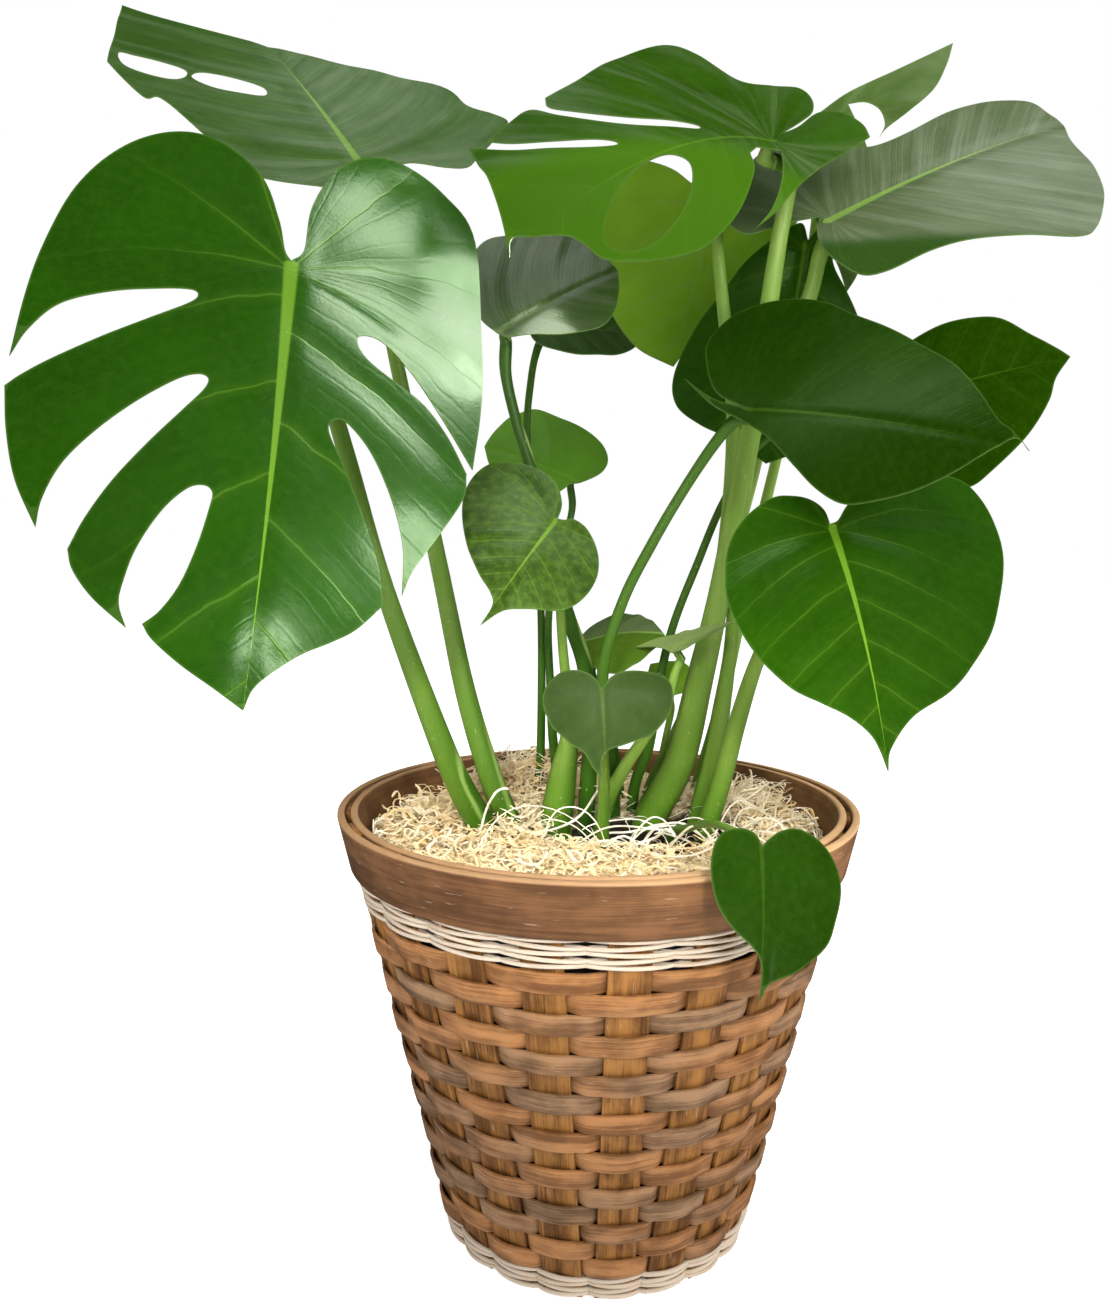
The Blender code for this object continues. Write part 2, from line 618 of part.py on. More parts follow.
def wool_height(x, y):
    """Top of the wood wool: low at the front, heaped at the back."""
    radius = math.hypot(x, y)
    rim = max(0.0, 1.0 - (radius / 0.123) ** 3)
    heap = 0.024 * math.exp(-((x + 0.045) ** 2 + (y - 0.075) ** 2) / 0.0012)
    side = 0.012 * math.exp(-((x - 0.085) ** 2 + (y - 0.03) ** 2) / 0.0010)
    return WOOL_EDGE + rim * (0.003 + 0.03 * max(0.0, y)) + heap * rim ** 0.5 + side * rim ** 0.5


def wool_body(draw):
    """The bed of wood wool: a lumpy disc on the soil, against the inner hoop."""
    sides = 28
    rings = [0.030, 0.062, 0.090, 0.112]
    points = [(0.0, 0.0, wool_height(0.0, 0.0))]
    faces = []
    for radius in rings:
        for i in range(sides):
            angle = 2 * math.pi * (i + 0.5 * (rings.index(radius) % 2)) / sides
            far = radius * (1 + draw.uniform(-0.03, 0.03))
            x, y = far * math.cos(angle), far * math.sin(angle)
            points.append((x, y, wool_height(x, y) + draw.uniform(-0.0016, 0.0022)))
    for radius, z in ((0.1212, WOOL_EDGE - 0.002), (0.1195, WOOL_BOTTOM)):
        for i in range(sides):
            points.append(around(radius, 2 * math.pi * (i + 0.5) / sides, z))
    points.append((0.0, 0.0, WOOL_BOTTOM))
    levels = len(rings) + 2
    for i in range(sides):
        j = (i + 1) % sides
        faces.append((0, 1 + i, 1 + j))
        for ring in range(levels - 1):
            a = 1 + ring * sides
            b = a + sides
            faces.append((a + i, b + i, b + j, a + j))
        last = 1 + (levels - 1) * sides
        faces.append((len(points) - 1, last + j, last + i))
    return points, faces


def sight(column, row):
    """Direction from the eye through one place of the front view."""
    forward = np.array([
        -math.sin(LOOK_LEFT) * math.cos(LOOK_DOWN),
        math.cos(LOOK_LEFT) * math.cos(LOOK_DOWN),
        -math.sin(LOOK_DOWN),
    ])
    right = np.array([math.cos(LOOK_LEFT), math.sin(LOOK_LEFT), 0.0])
    up = np.cross(right, forward)
    return forward + right * (column - VIEW_MIDDLE[0]) / VIEW_SCALE - up * (row - VIEW_MIDDLE[1]) / VIEW_SCALE


def seen(column, row, depth):
    """Point at this place of the front view, this far behind the basket's axis."""
    line = sight(column, row)
    return EYE + line * (depth - EYE[1]) / line[1]


def smooth_through(points, closed, steps=8):
    """Even curve through the points."""
    points = [np.array(p, float) for p in points]
    count = len(points)
    found = []
    for i in range(count if closed else count - 1):
        if closed:
            a, b, c, d = (points[(i + k) % count] for k in (-1, 0, 1, 2))
        else:
            b, c = points[i], points[i + 1]
            a = points[i - 1] if i > 0 else 2 * b - c
            d = points[i + 2] if i + 2 < count else 2 * c - b
        for step in range(steps):
            t = step / steps
            found.append(0.5 * (
                2 * b + (c - a) * t + (2 * a - 5 * b + 4 * c - d) * t * t + (3 * b - a - 3 * c + d) * t ** 3
            ))
    if not closed:
        found.append(points[-1])
    return found


def smooth_outline(points):
    """Curves between the corners of an outline, as lists of places in the front view."""
    corners = [i for i, p in enumerate(points) if len(p) > 2]
    flat = [p[:2] for p in points]
    if not corners:
        loop = smooth_through(flat, True)
        return [loop + loop[:1]]
    arcs = []
    for here, there in zip(corners, corners[1:] + [corners[0] + len(flat)]):
        run = [flat[i % len(flat)] for i in range(here, there + 1)]
        arcs.append(smooth_through(run, False))
    return arcs


def thin_out(line, sag, longest):
    """Keeps only the points of a line that its shape needs."""
    first, last = line[0], line[-1]
    span = last - first
    length = np.linalg.norm(span)
    if len(line) < 3:
        return [first, last]
    if length < 1e-9:
        far = [np.linalg.norm(p - first) for p in line]
    else:
        far = [abs(span[0] * (p - first)[1] - span[1] * (p - first)[0]) / length for p in line]
    worst = int(np.argmax(far))
    if far[worst] <= sag and length <= longest:
        return [first, last]
    if far[worst] <= sag or worst in (0, len(line) - 1):
        worst = len(line) // 2
    return thin_out(line[:worst + 1], sag, longest)[:-1] + thin_out(line[worst:], sag, longest)


class Blade:
    """The bent surface of one leaf."""

    def __init__(self, leaf):
        self.origin = seen(*leaf["junction"])
        tip = seen(*leaf["tip"])
        beside = seen(*leaf["beside"])
        self.length = np.linalg.norm(tip - self.origin)
        self.along = (tip - self.origin) / self.length
        across = beside - self.origin
        across = across - self.along * across.dot(self.along)
        self.across = across / np.linalg.norm(across)
        self.up = np.cross(self.across, self.along)
        if self.up.dot(EYE - self.origin) * leaf["face"] < 0:
            self.up = -self.up
        self.bend = leaf["bend"]

    def height(self, x, y):
        slope, curl, other_slope, other_curl, arch, drop = self.bend
        away = np.sqrt(x * x + 0.000036) - 0.006
        side = np.where(x > 0, slope * away + curl * away ** 2, other_slope * away + other_curl * away ** 2)
        along = y / self.length
        behind = np.minimum(along, 0.0)
        rise = np.where(along > 0, along * (1 - along), behind * np.exp(8 * behind))
        return side + arch * self.length * rise - drop * (behind * self.length) ** 2

    def place(self, x, y, lift=0.0):
        return self.origin + self.across * x + self.along * y + self.up * (self.height(x, y) + lift)

    def normal(self, x, y):
        e = 0.0005
        a = self.place(x + e, y) - self.place(x - e, y)
        b = self.place(x, y + e) - self.place(x, y - e)
        n = np.cross(a, b)
        n /= np.linalg.norm(n)
        return n if n.dot(self.up) > 0 else -n

    def under(self, column, row):
        """Where the surface shows at this place of the front view, as (x, y) on the blade."""
        line = sight(column, row)

        def miss(t):
            p = EYE + line * t - self.origin
            x, y = p.dot(self.across), p.dot(self.along)
            return p.dot(self.up) - float(self.height(x, y)), x, y

        t = (self.origin - EYE).dot(self.up) / line.dot(self.up)
        for _ in range(40):
            gap, x, y = miss(t)
            slope = (miss(t + 1e-5)[0] - gap) / 1e-5
            if abs(gap) < 1e-7 or abs(slope) < 1e-4:
                break
            t -= max(-0.02, min(0.02, gap / slope))
        return np.array([x, y])


def inside(point, loops):
    """Whether the point lies in the outline and in none of its holes."""
    x, y = point
    odd = False
    for loop in loops:
        for (ax, ay), (bx, by) in zip(loop, loop[1:] + loop[:1]):
            if (ay > y) != (by > y) and x < (bx - ax) * (y - ay) / (by - ay) + ax:
                odd = not odd
    return odd


def blade_net(blade, leaf, step, sag, longest):
    """Triangles of the flat blade: points (x, y) and faces."""
    loops = []
    for outline in [leaf["outline"]] + leaf.get("holes", []):
        loop = []
        for arc in smooth_outline(outline):
            line = [blade.under(column, row) for column, row in arc]
            loop += thin_out(line, sag, longest)[:-1]
        loops.append(loop)
    points = [tuple(p) for loop in loops for p in loop]
    edges = []
    start = 0
    for loop in loops:
        edges += [(start + i, start + (i + 1) % len(loop)) for i in range(len(loop))]
        start += len(loop)
    border = np.array(points)
    low, high = border.min(axis=0), border.max(axis=0)
    plain = [[tuple(p) for p in loop] for loop in loops]
    rows = int((high[1] - low[1]) / (step * 0.87)) + 2
    columns = int((high[0] - low[0]) / step) + 3
    middle = int(-low[0] / step) + 1
    seat = [(0.006 * math.cos(turn), 0.006 * math.sin(turn)) for turn in np.arange(6) * math.pi / 3]
    for x, y in [(0.0, 0.0)] + seat:
        if inside((x, y), plain) and np.hypot(border[:, 0] - x, border[:, 1] - y).min() > 0.002:
            points.append((x, y))
    border = np.array(points)
    for i in range(rows):
        y = low[1] + i * step * 0.87
        for j in range(columns):
            x = (j - middle + 0.5 * (i % 2)) * step
            if not inside((x, y), plain):
                continue
            if np.hypot(border[:, 0] - x, border[:, 1] - y).min() < step * 0.45:
                continue
            points.append((x, y))
    made = delaunay_2d_cdt([Vector(p) for p in points], edges, [], 0, 1e-7)
    flat = [tuple(p) for p in made[0]]
    faces = []
    for face in made[2]:
        corners = np.array([flat[i] for i in face])
        a, b = corners[1] - corners[0], corners[2] - corners[0]
        if abs(a[0] * b[1] - a[1] * b[0]) < 1e-9:
            continue
        if inside(corners.mean(axis=0), plain):
            faces.append(tuple(face))
    return flat, faces


def blade_body(blade, flat, faces):
    """The blade with its thickness: both faces cut alike, and an edge all round."""
    used = sorted({i for face in faces for i in face})
    place = {old: new for new, old in enumerate(used)}
    tops, bottoms = [], []
    for i in used:
        x, y = flat[i]
        middle = blade.place(x, y)
        n = blade.normal(x, y)
        tops.append(middle + n * BLADE_THICK / 2)
        bottoms.append(middle - n * BLADE_THICK / 2)
    count = len(used)
    solid = []
    edges = {}
    for face in faces:
        a, b, c = (place[i] for i in face)
        solid.append((a, b, c))
        solid.append((c + count, b + count, a + count))
        for edge in ((a, b), (b, c), (c, a)):
            edges[edge] = edge
    for a, b in edges:
        if (b, a) not in edges:
            solid.append((b, a, a + count, b + count))
    return tops + bottoms, solid


def stalk_line(key, blade):
    """Centre line of a stalk from its foot in the soil to the blade, its radii, and the steps
    from one point of its route to the next."""
    path = STALKS[key]
    places = [seen(*p[:3]) for p in path]
    radii = [p[3] / 1000 for p in path]
    lean = places[0] - places[1]
    drop = (places[0][2] - STALK_FOOT) / max(-lean[2], 1e-6)
    foot = places[0] + lean * drop
    foot[:2] = places[0][:2] + (foot[:2] - places[0][:2]) * 0.2
    n = blade.normal(0.0, 0.0)
    end = blade.place(0.0, 0.0) - n * (BLADE_THICK / 2 + STALK_GAP)
    last = radii[-1]
    back = end - n * max(0.006, 2.2 * last)
    near = end - n * 0.0022
    parts = 2 if len(path) < 7 else 1
    line = smooth_through([foot] + places + [back], False, parts) + [near, end]
    sizes = smooth_through([(r,) for r in [radii[0] * 0.9] + radii + [last]], False, parts)
    return line, [size[0] for size in sizes] + [last * 0.85, last * 0.7], parts


def tube(line, sizes, sides):
    """Round body along a line."""
    points = []
    reference = np.array([1.0, 0.0, 0.0])
    for i, middle in enumerate(line):
        before, after = line[max(i - 1, 0)], line[min(i + 1, len(line) - 1)]
        run = (after - before) / np.linalg.norm(after - before)
        reference = reference - run * reference.dot(run)
        reference /= np.linalg.norm(reference)
        other = np.cross(run, reference)
        for k in range(sides):
            turn = 2 * math.pi * k / sides
            points.append(middle + (reference * math.cos(turn) + other * math.sin(turn)) * sizes[i])
    faces = []
    for i in range(len(line) - 1):
        for k in range(sides):
            m = (k + 1) % sides
            a, b = i * sides, (i + 1) * sides
            faces.append((a + k, a + m, b + m, b + k))
    faces.append(tuple(reversed(range(sides))))
    faces.append(tuple(range(len(points) - sides, len(points))))
    return points, faces


def plant(looks):
    """Every blade and stalk, and the room that each stalk takes in the bed."""
    room = []
    for name, leaf in BLADES.items():
        key = name[:2]
        blade = Blade(leaf)
        big = blade.length > 0.15
        small = blade.length < 0.06
        step = BLADE_STEP * (1.0 if big else 0.5 if small else 0.8)
        flat, faces = blade_net(blade, leaf, step, OUTLINE_SAG * (0.6 if small else 1.0), step * 1.1)
        look = looks["young_leaf"] if key in ("05", "18", "19") else looks["leaf"]
        mesh_object("leaf_" + name, *blade_body(blade, flat, faces), look, True)
        line, sizes, parts = stalk_line(key, blade)
        body = tube(line, sizes, STALK_SIDES)
        mesh_object("stalk_" + name, *body, looks["stalk"], True)
        below = line[0] - np.array([0.0, 0.0, 0.001])
        widths = [size * 1.16 + 0.0017 for size in (sizes[0], sizes[parts], sizes[2 * parts])]
        room.append(tube([below, line[parts], line[2 * parts]], widths, 6))
    return room


remove_all()
random_draw = random.Random(7)
LOOKS = {
    "stake": material("stake_wood", (0.30, 0.155, 0.065), 0.55),
    "strip": material("strip_wood", (0.34, 0.21, 0.12), 0.60),
    "hoop": material("hoop_wood", (0.36, 0.19, 0.10), 0.55),
    "reed": material("pale_reed", (0.80, 0.74, 0.66), 0.50),
    "pot": material("black_plastic", (0.02, 0.02, 0.02), 0.45),
    "soil": material("potting_soil", (0.045, 0.028, 0.018), 0.95),
    "wool": material("wood_wool", (0.72, 0.55, 0.32), 0.80),
    "leaf": material("leaf_green", (0.045, 0.17, 0.015), 0.35),
    "young_leaf": material("young_leaf_green", (0.22, 0.38, 0.06), 0.40),
    "stalk": material("stalk_green", (0.20, 0.38, 0.06), 0.40),
}
basket(LOOKS)
growing_pot(LOOKS)
stalk_room = plant(LOOKS)
soil = mesh_object("soil", *soil_body(), LOOKS["soil"])
cut_bodies(soil, stalk_room, "EXACT")
wool = mesh_object("wood_wool", *wool_body(random_draw), LOOKS["wool"])
cut_bodies(wool, stalk_room, "EXACT")
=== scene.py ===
import math
import random

import bmesh
import bpy
import numpy as np
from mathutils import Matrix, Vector
from mathutils.geometry import delaunay_2d_cdt


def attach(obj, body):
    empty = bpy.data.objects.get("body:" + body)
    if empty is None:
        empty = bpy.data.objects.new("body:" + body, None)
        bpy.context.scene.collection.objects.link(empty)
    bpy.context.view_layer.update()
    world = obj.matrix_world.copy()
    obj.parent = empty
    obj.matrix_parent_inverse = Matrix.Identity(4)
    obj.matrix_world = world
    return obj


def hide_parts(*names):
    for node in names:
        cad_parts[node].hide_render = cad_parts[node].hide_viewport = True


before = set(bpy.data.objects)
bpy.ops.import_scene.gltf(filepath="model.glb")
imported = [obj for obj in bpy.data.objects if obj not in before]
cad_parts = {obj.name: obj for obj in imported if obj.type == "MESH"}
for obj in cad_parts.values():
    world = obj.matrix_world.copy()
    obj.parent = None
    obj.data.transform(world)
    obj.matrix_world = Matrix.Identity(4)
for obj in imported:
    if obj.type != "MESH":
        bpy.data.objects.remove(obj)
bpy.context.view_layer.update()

bpy.ops.object.select_all(action="DESELECT")

# The room: a white sweep under soft light from above and from the front right, as in a product studio.
# The plant is seen from 0.6 m in front of the basket's axis and 0.15 m above its rim, looking a little down.
EYE = np.array([0.0, -0.592, 0.389])
LOOK_DOWN = math.radians(7.1)
LOOK_LEFT = math.radians(2.265)
VIEW_SCALE = 1100.0
VIEW_MIDDLE = (554.0, 655.0)
VIEW_ROWS = 1310.0
FILM_SIDE = 36.0
FLOOR_SIDE = 12.0
SKY_LIGHT = 0.55
SKY_MIRRORED = 0.03
SKY_SEEN = 1.0

lens = bpy.data.cameras.new("camera")
lens.lens = VIEW_SCALE * FILM_SIDE / VIEW_ROWS
camera = bpy.data.objects.new("camera", lens)
camera.location = EYE
camera.rotation_euler = (math.pi / 2 - LOOK_DOWN, 0.0, LOOK_LEFT)
bpy.context.scene.collection.objects.link(camera)
bpy.context.scene.camera = camera
bpy.context.scene.view_settings.view_transform = "Standard"


def studio_light(name, place, size, power, towards=(0.0, 0.0, 0.38), lights=True, shines=True, spread=180.0,
                 narrow=1.0):
    """A soft box. One that doesn't light is only mirrored, and one that doesn't shine only lights. A small
    spread, in degrees, keeps the light together, and a narrow one is this share as deep as it is wide."""
    lamp = bpy.data.lights.new(name, "AREA")
    lamp.shape = "ELLIPSE"
    lamp.size = size
    lamp.size_y = size * narrow
    lamp.energy = power
    lamp.spread = math.radians(spread)
    made = bpy.data.objects.new(name, lamp)
    made.location = place
    made.rotation_euler = (Vector(place) - Vector(towards)).to_track_quat("Z", "Y").to_euler()
    made.visible_camera = False
    made.visible_diffuse = lights
    made.visible_glossy = shines
    bpy.context.scene.collection.objects.link(made)


# Three wide boxes light the whole plant, and two small ones light the wood wool under the leaves.
for name, place, size, power in (
    ("key_light", (1.40, -1.00, 1.50), 1.8, 30.0),
    ("front_light", (0.3, -1.9, 2.1), 1.2, 18.0),
    ("top_light", (-0.1, 0.7, 2.2), 1.8, 9.0),
):
    studio_light(name, place, size, power, shines=False)
for name, place, size, power, towards in (
    ("low_light", (-0.17, -0.75, 0.60), 0.12, 0.13, (-0.04, 0.02, 0.222)),
    ("low_right_light", (0.20, -0.72, 0.56), 0.12, 0.11, (0.01, 0.02, 0.215)),
):
    studio_light(name, place, size, power, towards, shines=False, spread=25.0)

# These give the leaves their sheen. The near, edge, lobe and tip ones stand close to the front left leaf.
for name, place, size, power, towards, narrow in (
    ("right_sheen", (0.44, 0.08, 0.96), 0.30, 0.6, (0.20, 0.04, 0.56), 1.0),
    ("left_sheen", (-0.09, 0.12, 1.00), 0.28, 0.40, (-0.12, 0.03, 0.56), 1.0),
    ("near_sheen", (0.060, -0.099, 0.592), 0.28, 0.74, (0.060, -0.099, 0.492), 0.22),
    ("edge_sheen", (-0.030, -0.057, 0.509), 0.064, 0.145, (-0.067, -0.053, 0.474), 1.0),
    ("lobe_sheen", (0.004, -0.150, 0.402), 0.06, 0.17, (-0.083, -0.106, 0.375), 1.0),
    ("tip_sheen", (-0.082, -0.227, 0.336), 0.028, 0.050, (-0.140, -0.147, 0.336), 1.0),
    ("front_sheen", (0.85, -1.20, 0.46), 0.20, 1.3, (-0.15, 0.0, 0.40), 1.0),
):
    studio_light(name, place, size, power, towards, lights=False, narrow=narrow)

# The sky lights softly from all round, is hardly mirrored, and is seen as plain white.
sky = bpy.data.worlds.new("studio")
sky.use_nodes = True
sky_nodes, sky_links = sky.node_tree.nodes, sky.node_tree.links
ray = sky_nodes.new("ShaderNodeLightPath")
glow = None
for strength, when in ((SKY_LIGHT, None), (SKY_MIRRORED, "Is Glossy Ray"), (SKY_SEEN, "Is Camera Ray")):
    light = sky_nodes.new("ShaderNodeBackground")
    light.inputs["Color"].default_value = (1.0, 1.0, 1.0, 1.0)
    light.inputs["Strength"].default_value = strength
    if when:
        either = sky_nodes.new("ShaderNodeMixShader")
        sky_links.new(ray.outputs[when], either.inputs[0])
        sky_links.new(glow, either.inputs[1])
        sky_links.new(light.outputs[0], either.inputs[2])
        light = either
    glow = light.outputs[0]
sky_links.new(glow, sky_nodes["World Output"].inputs["Surface"])
bpy.context.scene.world = sky

bpy.ops.mesh.primitive_plane_add(size=FLOOR_SIDE, location=(0.0, 0.0, 0.0))
floor = bpy.context.object
floor.name = "floor"
floor_paint = bpy.data.materials.new("floor_paint")
floor_paint.use_nodes = True
for title, value in (
    ("Base Color", (0.95, 0.95, 0.95, 1.0)), ("Roughness", 0.9),
    ("Emission Color", (1.0, 1.0, 1.0, 1.0)), ("Emission Strength", 0.60),
):
    floor_paint.node_tree.nodes["Principled BSDF"].inputs[title].default_value = value
floor.data.materials.append(floor_paint)
floor.visible_glossy = False


# The stakes: 20 flat uprights of golden splint wood, 20 mm wide and 2 mm thick, with the round base of
# the basket. They are sawn, so the grain runs up them. The space between them is taken half way up.
HEIGHT = 0.235
STAKES = 20
STAKE_THICK = 0.002
STAKE_SPACE = 0.034
STAKE_RADIUS_FOOT = 0.0815
STAKE_RADIUS_TOP = 0.1347
STAKE_TURN = math.radians(-83.0)


def node(tree, kind, values, **settings):
    """Adds a shader node. The values fill its inputs, each a number, a colour or another node's output."""
    made = tree.nodes.new("ShaderNode" + kind)
    for key, value in settings.items():
        setattr(made, key, value)
    for key, value in values.items():
        if isinstance(value, bpy.types.NodeSocket):
            tree.links.new(value, made.inputs[key])
        elif made.inputs[key].type == "RGBA":
            made.inputs[key].default_value = (*value, 1.0)
        else:
            made.inputs[key].default_value = value
    return made


def sums(tree, operation, *values):
    return node(tree, "Math", dict(enumerate(values)), operation=operation).outputs[0]


def times(tree, first, second):
    return sums(tree, "MULTIPLY", first, second)


def rest_of(tree, share):
    """What this share leaves of 1."""
    return sums(tree, "SUBTRACT", 1.0, share)


def soft_step(tree, value, start, end):
    """0 below start and 1 above end, with a smooth rise."""
    found = node(tree, "MapRange", {0: value, 1: start, 2: end}, interpolation_type="SMOOTHSTEP")
    return found.outputs[0]


def between(tree, share, low, high):
    return node(tree, "MapRange", {0: share, 3: low, 4: high}).outputs[0]


def blend_colours(tree, share, first, second, kind="MIX"):
    found = node(tree, "Mix", {0: share, 6: first, 7: second}, data_type="RGBA", blend_type=kind)
    return found.outputs[2]


def tinted(tree, colour, tint):
    return blend_colours(tree, 1.0, colour, tint, "MULTIPLY")


def object_place(tree):
    return node(tree, "TexCoord", {}).outputs["Object"]


def carried(tree, name):
    """A value that the mesh carries at its points."""
    return node(tree, "Attribute", {}, attribute_name=name).outputs["Fac"]


def stretched_noise(tree, place, scale, detail=3.0, rough=0.55):
    """Noise with its own scale along each axis."""
    moved = node(tree, "VectorMath", {0: place, 1: scale}, operation="MULTIPLY").outputs[0]
    traits = {"Vector": moved, "Scale": 1.0, "Detail": detail, "Roughness": rough}
    return node(tree, "TexNoise", traits).outputs[0]


def new_group(name, takes, gives):
    """A shader node group with its named inputs and outputs."""
    group = bpy.data.node_groups.new(name, "ShaderNodeTree")
    for title, kind in takes:
        group.interface.new_socket(title, in_out="INPUT", socket_type="NodeSocket" + kind)
    for title, kind in gives:
        group.interface.new_socket(title, in_out="OUTPUT", socket_type="NodeSocket" + kind)
    return group, group.nodes.new("NodeGroupInput").outputs, group.nodes.new("NodeGroupOutput").inputs


def fill_outputs(group, gives, colour, roughness, height):
    group.links.new(colour, gives["Color"])
    group.links.new(roughness, gives["Roughness"])
    group.links.new(height, gives["Height"])
    return group


def splint_grain():
    """Wood fibre: the place's first axis runs along the grain, the second across it, and the third picks
    another piece of wood."""
    group, takes, gives = new_group(
        "splint_grain",
        [("Place", "Vector"), ("Dark", "Color"), ("Light", "Color"), ("Fibre", "Float")],
        [("Color", "Color"), ("Roughness", "Float"), ("Height", "Float")],
    )
    place = takes["Place"]
    bands = stretched_noise(group, place, (9.0, 130.0, 7.0), 3.0)
    fibres = stretched_noise(group, place, (26.0, 1100.0, 11.0), 4.0, 0.65)
    pores = stretched_noise(group, place, (90.0, 3000.0, 13.0), 2.0)
    blots = stretched_noise(group, place, (60.0, 85.0, 5.0), 3.0)
    share = sums(group, "ADD", sums(group, "ADD", bands, times(group, blots, 0.7)), -0.85)
    fibre_share = times(group, sums(group, "SUBTRACT", fibres, 0.5), times(group, takes["Fibre"], 1.6))
    share = soft_step(group, sums(group, "ADD", share, fibre_share), -0.24, 0.24)
    colour = blend_colours(group, share, takes["Dark"], takes["Light"])
    pitted = soft_step(group, pores, 0.60, 0.72)
    colour = blend_colours(group, times(group, pitted, 0.22), colour, (0.10, 0.045, 0.02))
    flecks = soft_step(group, stretched_noise(group, place, (70.0, 900.0, 17.0), 2.0), 0.68, 0.76)
    colour = blend_colours(group, times(group, flecks, 0.28), colour, (0.75, 0.62, 0.48))
    height = sums(group, "SUBTRACT", fibres, times(group, pitted, 0.4))
    return fill_outputs(group, gives, colour, between(group, fibres, 0.48, 0.72), height)


SPLINT_GRAIN = splint_grain()


def splint(tree, **traits):
    """The wood's colour, roughness and relief, from its place, dark and light colour, and fibre."""
    wood = node(tree, "Group", traits, node_tree=SPLINT_GRAIN)
    return wood.outputs["Color"], wood.outputs["Roughness"], wood.outputs["Height"]


def finish_material(name, pattern, bump=0.3, depth=0.0004):
    """A material whose colour, roughness and relief come from the pattern built on its node tree."""
    look = bpy.data.materials.new(name)
    look.use_nodes = True
    tree = look.node_tree
    shader = tree.nodes["Principled BSDF"]
    colour, roughness, height = pattern(tree)
    relief = node(tree, "Bump", {"Strength": bump, "Distance": depth, "Height": height})
    tree.links.new(colour, shader.inputs["Base Color"])
    tree.links.new(roughness, shader.inputs["Roughness"])
    tree.links.new(relief.outputs[0], shader.inputs["Normal"])
    shader.inputs["Specular IOR Level"].default_value = 0.25
    return look


def dress(piece, look):
    """Gives the piece this material and no other."""
    piece.data.materials.clear()
    piece.data.materials.append(look)


def stake_pattern(tree):
    """Each stake has its own tone, found from its place round the basket."""
    place = node(tree, "SeparateXYZ", {0: object_place(tree)}).outputs
    turn = sums(tree, "ARCTAN2", place["Y"], place["X"])
    steps = sums(tree, "DIVIDE", sums(tree, "SUBTRACT", turn, STAKE_TURN), 2 * math.pi / STAKES)
    number = sums(tree, "ROUND", steps)
    beside = times(tree, sums(tree, "SUBTRACT", steps, number), STAKE_SPACE)
    run = node(tree, "CombineXYZ", {0: place["Z"], 1: beside, 2: times(tree, number, 0.37)}).outputs[0]
    return splint(tree, Place=run, Dark=(0.095, 0.035, 0.008), Light=(0.32, 0.142, 0.034), Fibre=0.42)


dress(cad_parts["stakes"], finish_material("stake_splint", stake_pattern, bump=0.5))


# The woven strips: 16 rows of flat splint, 10.5 mm high and 1.6 mm thick, each going outside one stake
# and inside the next. The wood springs outwards over the stakes, and every strip has its own tone.
STRIP_ROWS = 16
STRIP_THICK = 0.0016
STRIP_BOTTOM = 0.0145
STRIP_TOP = 0.1885
STRIP_APART = 0.00035
STRIP_OUTSIDE = 0.00205
STRIP_INSIDE = 0.00215
STRIP_CROWN = 0.0012
STRIP_CROSSING = 0.00155
ON_STAKE = 0.0104
POINTS_A_STAKE = 14
weave_draw = random.Random(11)


def stake_radius(z):
    return STAKE_RADIUS_FOOT + (STAKE_RADIUS_TOP - STAKE_RADIUS_FOOT) * z / HEIGHT


def select_alone(piece):
    bpy.ops.object.select_all(action="DESELECT")
    piece.select_set(True)
    bpy.context.view_layer.objects.active = piece


def apply_modifiers(piece):
    """Selects the piece alone and applies what it carries."""
    select_alone(piece)
    for modifier in list(piece.modifiers):
        bpy.ops.object.modifier_apply(modifier=modifier.name)


def join_pieces(pieces, name):
    select_alone(pieces[0])
    for piece in pieces[1:]:
        piece.select_set(True)
    bpy.ops.object.join()
    pieces[0].name = name
    pieces[0].data.name = name
    return pieces[0]


def bare_band(points, radius, tall, middle, turn=0.0):
    """An open ring without thickness round the basket's axis."""
    bpy.ops.object.select_all(action="DESELECT")
    bpy.ops.mesh.primitive_cylinder_add(
        vertices=points, radius=radius, depth=tall, end_fill_type="NOTHING",
        location=(0.0, 0.0, middle), rotation=(0.0, 0.0, turn),
    )
    bpy.ops.object.transform_apply(location=True, rotation=True, scale=True)
    return bpy.context.object


def thicken(band, thick, rounded, segments, smooth):
    """Gives the band its thickness and rounded edges, and smooths it up to this many degrees."""
    solid = band.modifiers.new("Thickness", "SOLIDIFY")
    solid.thickness = thick
    solid.offset = 0.0
    edge = band.modifiers.new("Edge", "BEVEL")
    edge.width = rounded
    edge.segments = segments
    edge.limit_method = "ANGLE"
    edge.angle_limit = math.radians(50)
    apply_modifiers(band)
    bpy.ops.object.shade_smooth_by_angle(angle=math.radians(smooth))


def carry(mesh, name, values):
    """Writes a value at each of the mesh's points."""
    kept = mesh.attributes.get(name) or mesh.attributes.new(name, "FLOAT", "POINT")
    kept.data.foreach_set("value", values)


def unroll(piece, radius, seed, tone):
    """Lays the piece's own map along its run round the basket, in metres, and gives it its tone."""
    mesh = piece.data
    run = mesh.uv_layers[0] if mesh.uv_layers else mesh.uv_layers.new()
    run.name = "run"
    for face in mesh.polygons:
        turns = [math.atan2(mesh.vertices[i].co.y, mesh.vertices[i].co.x) for i in face.vertices]
        for loop, i, turn in zip(face.loop_indices, face.vertices, turns):
            if turn - turns[0] > math.pi:
                turn -= 2 * math.pi
            if turn - turns[0] < -math.pi:
                turn += 2 * math.pi
            run.data[loop].uv = (turn * radius + seed, mesh.vertices[i].co.z)
    carry(mesh, "tone", [tone] * len(mesh.vertices))


